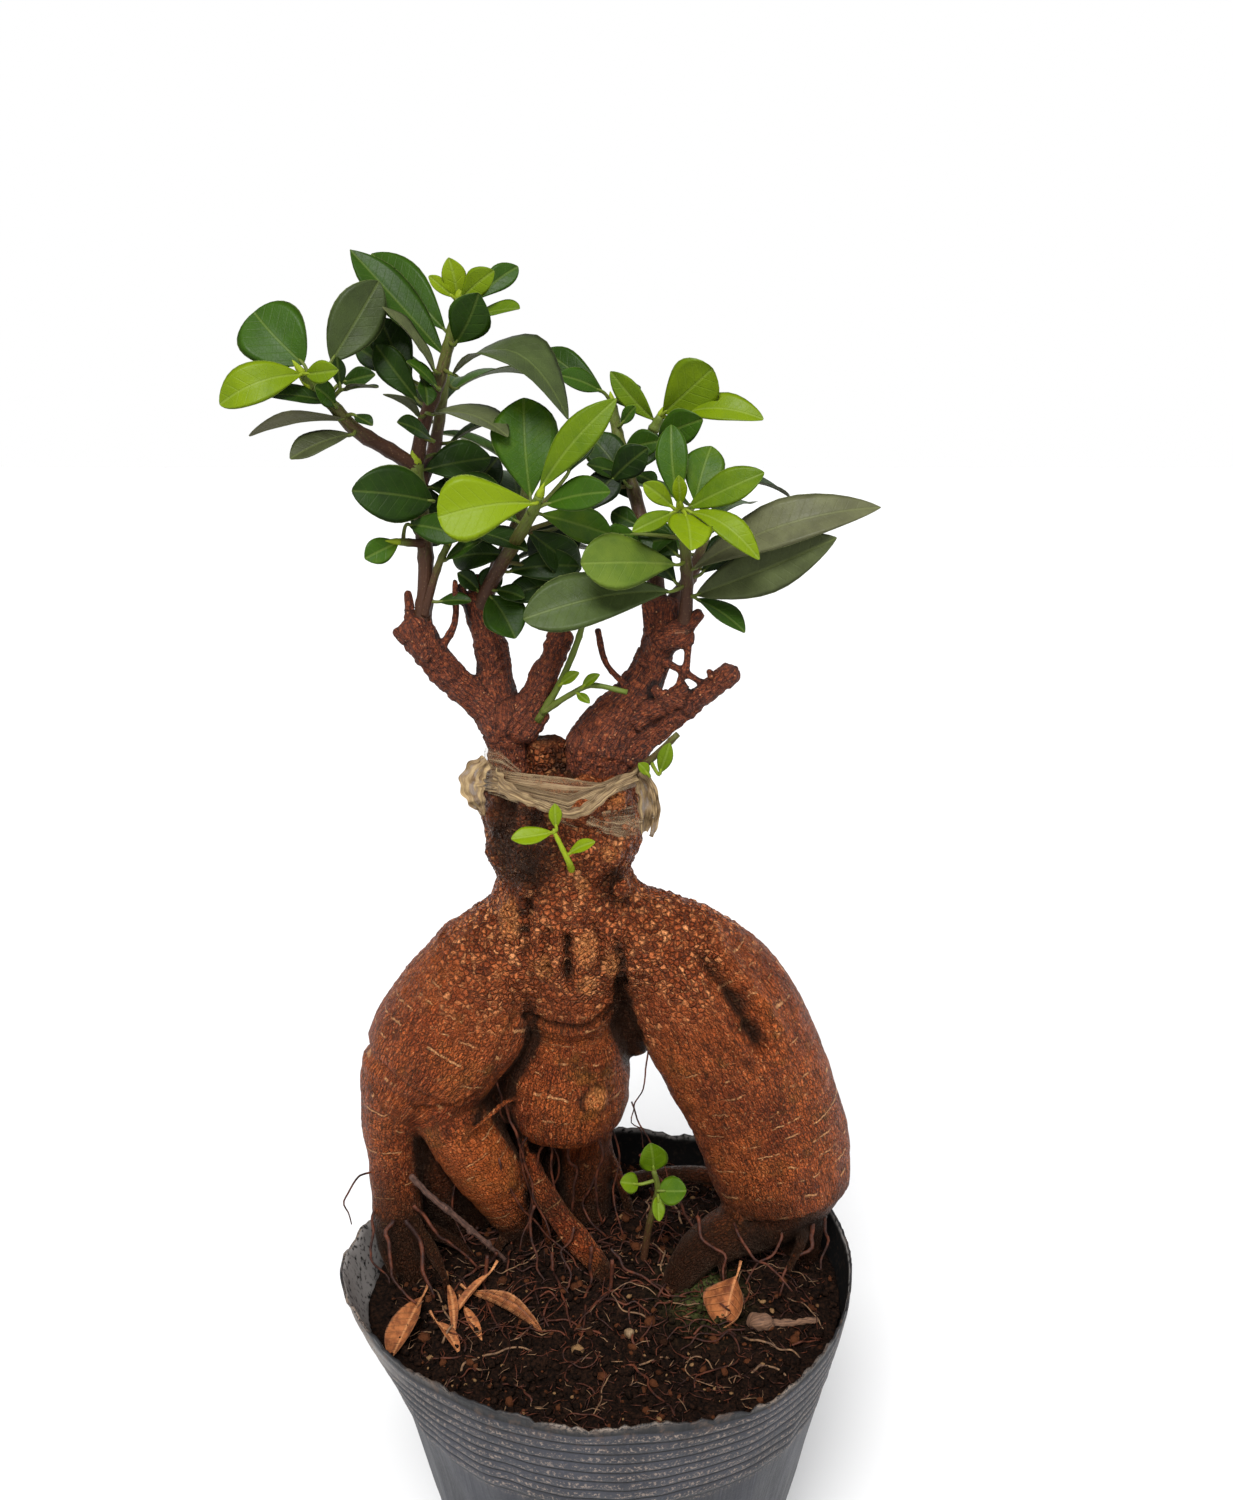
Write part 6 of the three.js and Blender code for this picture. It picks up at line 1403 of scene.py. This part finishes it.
# the torn edge
jag = rim_noise(22, 75) + 0.8 * rim_noise(47, 76) - 1.2 * soft_step(0.45, 0.9, rim_noise(16, 77))
rows[..., 2] += np.clip((heights_all - 91) / 2, 0, 1)[:, None] * jag * 0.8
walls = grid_faces(closed(np.arange(len(rows) * SECTORS).reshape(-1, SECTORS)), True)
kinds = [0] * (len(heights) * SECTORS) + [1] * (len(walls) - len(heights) * SECTORS)
# the base, with its drain holes
HOLES, HOLE_CIRCLE, HOLE_RADIUS, HOLE_SIDES = 6, 28, 3.5, 28
hole_turns = [(i + 0.5) * math.pi / (HOLES / 2) for i in range(HOLES)]
holes = [HOLE_CIRCLE * np.array([math.cos(turn), math.sin(turn)]) for turn in hole_turns]
turn = np.arange(HOLE_SIDES) / HOLE_SIDES * 2 * math.pi
hole_rings = [hole + HOLE_RADIUS * np.stack([np.cos(turn), np.sin(turn)], axis=1) for hole in holes]
rings = [rows[0, :, :2]] + hole_rings
points = np.vstack(rings)
edges, start = [], 0
for ring in rings:
    edges += [(start + i, start + (i + 1) % len(ring)) for i in range(len(ring))]
    start += len(ring)
flat_points, _, flat_faces, *_ = delaunay_2d_cdt([Vector(p) for p in points], edges, [], 1, 1e-6)
flat_points = np.array([list(p) for p in flat_points])
kept = [f for f in flat_faces
        if min(np.linalg.norm(flat_points[list(f)].mean(0) - hole) for hole in holes) > HOLE_RADIUS - 0.1]
count = len(flat_points)
low = np.column_stack([flat_points, np.zeros(count)])
high = np.column_stack([flat_points, np.full(count, FILM)])
high[:SECTORS] = rows[-1]
base_faces = [list(f)[::-1] for f in kept] + [[v + count for v in f] for f in kept]
for number in range(HOLES):
    ring = SECTORS + number * HOLE_SIDES + np.arange(HOLE_SIDES)
    base_faces += grid_faces(closed(np.stack([ring, ring + count])), True)
# marks for the finish: the place on the wall, the rise of its rings, and the wear
all_marks = np.zeros((len(rows), SECTORS, 3))
all_marks[..., 0] = angles * 50
all_marks[..., 1] = heights_all[:, None]
all_marks[:len(heights), :, 2] = np.where(heights > 68, ring_rise, 1)[:, None]
wear = np.clip((heights_all - 91.6) / 1.0, 0, 1)[:, None] + np.zeros(SECTORS)
wear = np.maximum(wear, 1.6 * lip_bulge(angles) * np.clip((heights_all - 80) / 9, 0, 1)[:, None])
pot.add(rows.reshape(-1, 3), walls, kinds, wall=all_marks.reshape(-1, 3), wear=wear.ravel())
pot.add(np.vstack([low, high]), base_faces, wall=[0, 10, 1], wear=0)
pot.piece("nursery_pot", [pot_film.material, inner_film.material], "pot_film", "pot")


# Soil: dark peaty potting mix, filled to below the rim and mounded round the plant's foot. It has loose
# crumbs, bits of bark and thin dry roots that curl on it, and it is green with algae in one place.
earth = Finish("earth", Specular_IOR_Level=0.05)
chance = earth.mark("crumb")
grain = earth.place.cloud(1.1, 4, 0.65)
tone = grain.step(0.35, 0.75).tint((0.003, 0.0018, 0.0013), (0.020, 0.0088, 0.0048))
tone = chance.step(0.8, 0.86).tint(tone, (0.060, 0.020, 0.008))
tone = chance.step(0.965, 0.975).tint(tone, (0.17, 0.095, 0.042))
green = earth.mark("algae") * grain.step(0.3, 0.6)
tone = (green * 0.85).tint(tone, (0.050, 0.060, 0.016))
earth.feed(Base_Color=tone, Roughness=0.95 - earth.mark("algae") * 0.3)
earth.relief(grain + earth.place.pebbles(scale=0.9), 0.5)


def algae(spots):
    """How green each place is, from 0 to 1."""
    patch = np.exp(-((spots[:, 0] - 22) / 7) ** 2 - ((spots[:, 1] + 6) / 9) ** 2)
    return np.clip(patch * 1.3 + 0.5 * soft_noise(spots / 4, 81) * patch, 0, 1)


soil = Heap()
ring_count, spokes = 62, 300
angle = np.arange(spokes) / spokes * 2 * math.pi
edge = softened(angle, wall_radius(SOIL_EDGE) - FILM - 0.15, np.full(spokes, SOIL_EDGE))
t = np.linspace(0, 1, ring_count)[1:, None]
x, y = t * edge[:, 0], t * edge[:, 1]
flat = np.stack([x, y, np.zeros_like(x)], axis=-1).reshape(-1, 3)
rough = 0.9 * soft_noise(flat / 4.3, 83) + 0.75 * soft_noise(flat / 1.9, 84)
rough = rough + 0.5 * soft_noise(flat / 0.9, 85)
top = np.column_stack([flat[:, :2], soil_height(flat[:, 0], flat[:, 1]) + rough * 0.8 - 0.3])
top = np.vstack([[0, 0, soil_height(0, 0)], top])
n = closed(1 + np.arange((ring_count - 1) * spokes).reshape(-1, spokes))
ring = n[0].tolist()
faces = [[0, a, b] for a, b in zip(ring, ring[1:])] + grid_faces(n)
depths = [80, 70, 50, 30, 12, 1.3]
sides = np.array([softened(angle, wall_radius(z) - FILM - 0.3, np.full(spokes, float(z))) for z in depths])
low = closed(len(top) + np.arange(len(depths) * spokes).reshape(-1, spokes))
faces += grid_faces(np.vstack([n[-1:], low]))
body = np.vstack([top, sides.reshape(-1, 3), [[0, 0, depths[-1]]]])
ring = low[-1].tolist()
faces += [[len(body) - 1, b, a] for a, b in zip(ring, ring[1:])]
soil.add(body, faces, crumb=0, algae=algae(body) * (body[:, 2] > SOIL_EDGE - 1))

# crumbs: little jagged lumps scattered over the soil
golden = (1 + 5**0.5) / 2
lump = np.array([[-1, golden, 0], [1, golden, 0], [-1, -golden, 0], [1, -golden, 0], [0, -1, golden],
                 [0, 1, golden], [0, -1, -golden], [0, 1, -golden], [golden, 0, -1], [golden, 0, 1],
                 [-golden, 0, -1], [-golden, 0, 1]]) / math.hypot(1, golden)
lump_faces = [[0, 11, 5], [0, 5, 1], [0, 1, 7], [0, 7, 10], [0, 10, 11], [1, 5, 9], [5, 11, 4],
              [11, 10, 2], [10, 7, 6], [7, 1, 8], [3, 9, 4], [3, 4, 2], [3, 2, 6], [3, 6, 8], [3, 8, 9],
              [4, 9, 5], [2, 4, 11], [6, 2, 10], [8, 6, 7], [9, 8, 1]]
dice = np.random.default_rng(29)
CRUMBS, CURLS, FIBRES = 3600, 120, 1500
reach = wall_radius(SOIL_EDGE) - FILM - 0.8


def lie_at(x, y, above):
    """A place at a height above the soil."""
    return np.array([x, y, soil_height(x, y) + above])


for number in range(CRUMBS):
    a, out = dice.uniform(0, 2 * math.pi), dice.uniform() ** 0.5
    x, y = out * reach * math.cos(a), out * reach * math.sin(a)
    size = 0.35 + 1.1 * dice.uniform() ** 4
    stretch = size * dice.uniform(0.6, 1.4, 3) * [1, 1, 0.8]
    turn = dice.uniform(0, 2 * math.pi)
    c, s = math.cos(turn), math.sin(turn)
    spots = lump * stretch * dice.uniform(0.75, 1.25, (len(lump), 1))
    spots = spots @ np.array([[c, s, 0], [-s, c, 0], [0, 0, 1]]) + lie_at(x, y, size * 0.25)
    soil.add(spots, lump_faces, crumb=dice.uniform(), algae=algae(spots) * 0.7)

# dry roots that curl over the soil
for number in range(CURLS):
    a, out = dice.uniform(0, 2 * math.pi), dice.uniform(0.15, 0.92)
    x, y = out * 53 * math.cos(a), out * 53 * math.sin(a)
    heading, bend = dice.uniform(0, 2 * math.pi), dice.normal(0, 0.3)
    radius = dice.uniform(0.12, 0.34)
    path = []
    for k in range(int(dice.integers(5, 13))):
        if math.hypot(x, y) > 53.5:
            break
        lift = radius * 0.6 + (1.2 * abs(math.sin(k * 1.1 + number)) if number % 3 else 0.1)
        path.append([*lie_at(x, y, lift), radius * (1 - 0.05 * k)])
        heading += bend + dice.normal(0, 0.35)
        x, y = x + 2.6 * math.cos(heading), y + 2.6 * math.sin(heading)
    if len(path) > 3:
        path[0][2] -= 1.4
        path[-1][2] -= 1.4
        curve = wavering(path, 0.3, number, 4)
        spots, faces, _ = rod(curve[:, :3], np.maximum(curve[:, 3], 0.1), 5)
        soil.add(spots, faces, 1 if number % 5 else 2, crumb=0, algae=0)
tan_root = Finish("dry_root", Roughness=0.75)
tan_cloud = tan_root.place.cloud(0.9, 3).step(0.3, 0.7)
tan_root.feed(Base_Color=tan_cloud.tint((0.055, 0.024, 0.010), (0.20, 0.105, 0.045)))
# short fibres of peat
for number in range(FIBRES):
    a, out = dice.uniform(0, 2 * math.pi), dice.uniform() ** 0.5 * 53.5
    start = lie_at(out * math.cos(a), out * math.sin(a), dice.uniform(0.1, 0.9))
    way = dice.normal(0, 1, 3) * [1, 1, 0.3]
    way *= dice.uniform(1.6, 4.4) / np.linalg.norm(way)
    sag = np.cross(way, [0, 0, 1]) * dice.uniform(-0.3, 0.3)
    if np.hypot(*(start + way)[:2]) < 54:
        points = np.array([start, start + way * 0.5 + sag, start + way])
        spots, faces, _ = rod(points, np.array([0.11, 0.13, 0.07]) * dice.uniform(0.7, 1.3), 3)
        soil.add(spots, faces, 1 if number % 5 else 2, crumb=0, algae=0)
soil.piece("soil_bed", [earth.material, root_skin.material, tan_root.material], "earth", "soil")


# Litter: dry leaves that fell on the soil and curled, a dry twig that leans on the left leg, a pale knot
# of root with its tail, and a small stone.
def dead_skin(name, dark, light):
    """The finish of one side of a dry leaf."""
    skin = Finish(name, Roughness=0.75, Specular_IOR_Level=0.3)
    spot, more = skin.mark("leaf", "Vector"), skin.mark("leaf_more", "Vector")
    mottle = skin.place.cloud(0.45, 4, 0.6)
    tone = mottle.step(0.3, 0.7).tint(dark, light)
    phase = (spot.part(1) - abs(spot.part(0)) * 0.8) * 0.55
    vein = abs(phase.maths("FRACT", phase) - 0.5).step(0.12, 0.0)
    rib = abs(spot.part(0)).step(0.45, 0.1)
    tone = (vein * 0.35 + rib * 0.6).tint(tone, (0.46, 0.20, 0.075))
    tone = (more.part(0).step(0.85, 1.0) * 0.5).tint(tone, (0.05, 0.028, 0.018))
    skin.feed(Base_Color=tone)
    skin.relief(mottle + vein * 0.5 + rib * 0.5, 0.35)
    return skin.material


DEAD_SKINS = [dead_skin("dead_leaf_top", (0.11, 0.030, 0.009), (0.34, 0.115, 0.034)),
              dead_skin("dead_leaf_under", (0.18, 0.058, 0.020), (0.46, 0.19, 0.070))]
# x, z as seen and height above the soil of a leaf's base and of its tip, its width and its curl
FALLEN_LEAVES = [
    [-43.6, 82.5, 1.6, -52.4, 65, 0.2, 8.4, 0.6], [-31.5, 83.5, 1.4, -14, 72.5, 0.5, 6.6, 1.0],
    [-27, 89, 2.6, -36.5, 76, 0.4, 2.6, 0.4], [-37.3, 86, 1.8, -36.2, 71, 0.4, 2.4, 0.4],
    [-33.5, 79.5, 0.6, -29.3, 70, 0.3, 2.6, 0.4], [-40.5, 75, 0.5, -35, 66, 0.3, 3, 0.4],
    [34.2, 88.5, 4, 30.5, 73.5, 0.4, 16, 0.8],
]


def seen_on_soil(x, z, above):
    """The place that shows at x, z and lies a height above the soil."""
    near, far = -60.0, 70.0
    for _ in range(24):
        middle = (near + far) / 2
        spot = seen(x, z, middle)
        if spot[2] > soil_height(spot[0], spot[1]) + above:
            near = middle
        else:
            far = middle
    return seen(x, z, near)


OUTLINES = {1: (1.7, 0.62), 7: (2.1, 0.6)}
for number, (*base, tx, tz, tip_above, wide, curl) in enumerate(FALLEN_LEAVES, 1):
    base, tip = seen_on_soil(*base), seen_on_soil(tx, tz, tip_above)
    ahead = (tip - base) / np.linalg.norm(tip - base)
    up = np.array([0, 0, 1]) - ahead[2] * ahead
    up /= np.linalg.norm(up)
    heap = Heap()
    add_leaf(heap, base, tip, up, wide * 1.08, 0.08, curl * 1.2, 0, number + 5,
             OUTLINES.get(number, (1.1, 0.72)), 18, 10)
    path = soft_route(np.array([base - ahead * 3.5 + up * 0.6, base - ahead * 1.2, base + ahead * 1.5]), 3)
    spots, faces, places = rod(path, np.linspace(0.4, 0.2, len(path)), 6)
    heap.add(spots, faces, 1, leaf=places, leaf_more=places * 0)
    heap.piece(f"dry_leaf_{number}", DEAD_SKINS, "dead_leaf", f"fallen_leaf_{number}")


def dry_wood(name, across, dark, light):
    """The finish of dry wood, grained along it."""
    wood = Finish(name, Roughness=0.8)
    grain = wood.mark("bark_place", "Vector").stretched(2.5, across, 1).cloud(1.0, 4, 0.6)
    wood.feed(Base_Color=grain.step(0.3, 0.7).tint(dark, light))
    wood.relief(grain, 0.35)
    return wood.material


DRY_VOXEL = 0.25


def dry_piece(name, route, node, material, lumps=()):
    """A dry stick, root or stone, with lumps on it: where each starts, how it lies and its radius."""
    limbs = [as_limb(route, 0.6, (0.5, 1))]
    limbs += [as_limb(np.array([[*spot, r], [*(spot + along), r * 0.9]]), 0.8) for spot, along, r in lumps]
    spots, quads, normals, _ = grown_solid(limbs, [], DRY_VOXEL)
    place = bark_places(spots, limbs)
    swell = 0.14 * soft_noise(spots / 0.9, 91) + 0.12 * soft_noise(place * [1.2, 0.25, 1], 92)
    made = put_mesh(name, spots + normals * swell[:, None], quads, {"bark_place": place})
    dressed(made, [material], node)


twig_wood = dry_wood("dry_twig", 0.35, (0.020, 0.008, 0.005), (0.105, 0.046, 0.028))
twig = wavering([[*seen(x, z, y), r] for x, z, y, r in [
    [-45.2, 116, 1, 0.75], [-35.4, 105.2, 2.5, 0.75], [-28, 98, 4, 0.6], [-22.4, 92, 5.5, 0.5]]], 0.5, 95)
dry_piece("dry_twig_wood", twig, "loose_twig", twig_wood,
          [(twig[5, :3], [0.2, -0.4, 0.6], 0.75), (twig[9, :3], [0.2, -0.3, -0.4], 0.7),
           (twig[13, :3], [0, 0.3, 0.6], 0.6)])
knot_wood = dry_wood("dry_root_knot", 0.5, (0.045, 0.019, 0.009), (0.19, 0.095, 0.05))
knot = soft_route(np.array([[*seen_on_soil(x, z, r / 2), r] for x, z, r in [
    [40, 74.5, 1.2], [47, 74.6, 0.9], [54, 75.4, 0.7]]]), 5)
dry_piece("root_knot_wood", knot, "root_knot", knot_wood,
          [(knot[0, :3] + [-0.2, -0.5, 0.6], [1.4, 0.2, 0.2], 2.0),
           (knot[0, :3] + [-1.6, 0.4, 0.2], [0.4, 0.8, 0.6], 1.3),
           (knot[1, :3] + [0.4, -0.9, 0.4], [0.5, 0, -0.4], 1.2)])
stone = Finish("stone", Roughness=0.7)
stone_cloud = stone.place.cloud(1.2, 4).step(0.35, 0.7)
stone.feed(Base_Color=stone_cloud.tint((0.11, 0.062, 0.028), (0.21, 0.135, 0.065)))
stone.relief(stone.place.cloud(2.5, 4), 0.2)
spot = seen_on_soil(7.2, 71.3, 1.2)
pebble = np.array([[*spot, 1.25], [*(spot + [0.3, 0.2, 0.1]), 1.2]])
dry_piece("stone_body", pebble, "pebble", stone.material)


# Studio: a pale plain floor and backdrop with soft light from the front and above, and the camera, which
# stands where the photograph was taken from.
FAR, LOW = 4000, -0.2
floor = put_mesh("floor", [[-FAR, -FAR, LOW], [FAR, -FAR, LOW], [FAR, FAR, LOW], [-FAR, FAR, LOW]],
                 [[0, 1, 2, 3]])
pale = Finish("pale_floor", Roughness=0.95, Base_Color=(0.66, 0.66, 0.66, 1))
floor.data.materials.append(pale.material)
world = bpy.data.worlds.new("studio")
bpy.context.scene.world = world
world.use_nodes = True
sky = Shade(world.node_tree, None).node("ShaderNodeTexCoord", {}, {}, "Generated")
low_sky = sky.part(1).step(-0.7, 0.1).tint((0.78, 0.78, 0.79), (1, 1, 1))
world.node_tree.links.new(sky.part(2).step(0.55, 0.26).tint((0.38, 0.38, 0.39), low_sky).socket,
                          world.node_tree.nodes["Background"].inputs["Color"])
bpy.context.scene.view_settings.view_transform = "Standard"


def lamp(name, strength, softness, place):
    """A lamp far off that shines from the side of a place towards the part."""
    light = bpy.data.lights.new(name, "SUN")
    light.energy = strength
    light.angle = math.radians(softness)
    holder = bpy.data.objects.new(name, light)
    holder.location = place
    holder.rotation_euler = (-Vector(place)).to_track_quat("-Z", "Y").to_euler()
    bpy.context.scene.collection.objects.link(holder)


lamp("key", 4.7, 26, (-0.16, -0.78, 1.0))
lamp("fill", 0.9, 60, (0.9, -0.6, 0.7))

TILT_DOWN = 15.3
camera = bpy.data.cameras.new("camera")
camera.sensor_width = 36
camera.lens = 34.08
camera.clip_start = 0.01
holder = bpy.data.objects.new("camera", camera)
holder.location = EYE * MM
holder.rotation_euler = (math.radians(90 - TILT_DOWN), 0, 0)
bpy.context.scene.collection.objects.link(holder)
bpy.context.scene.camera = holder
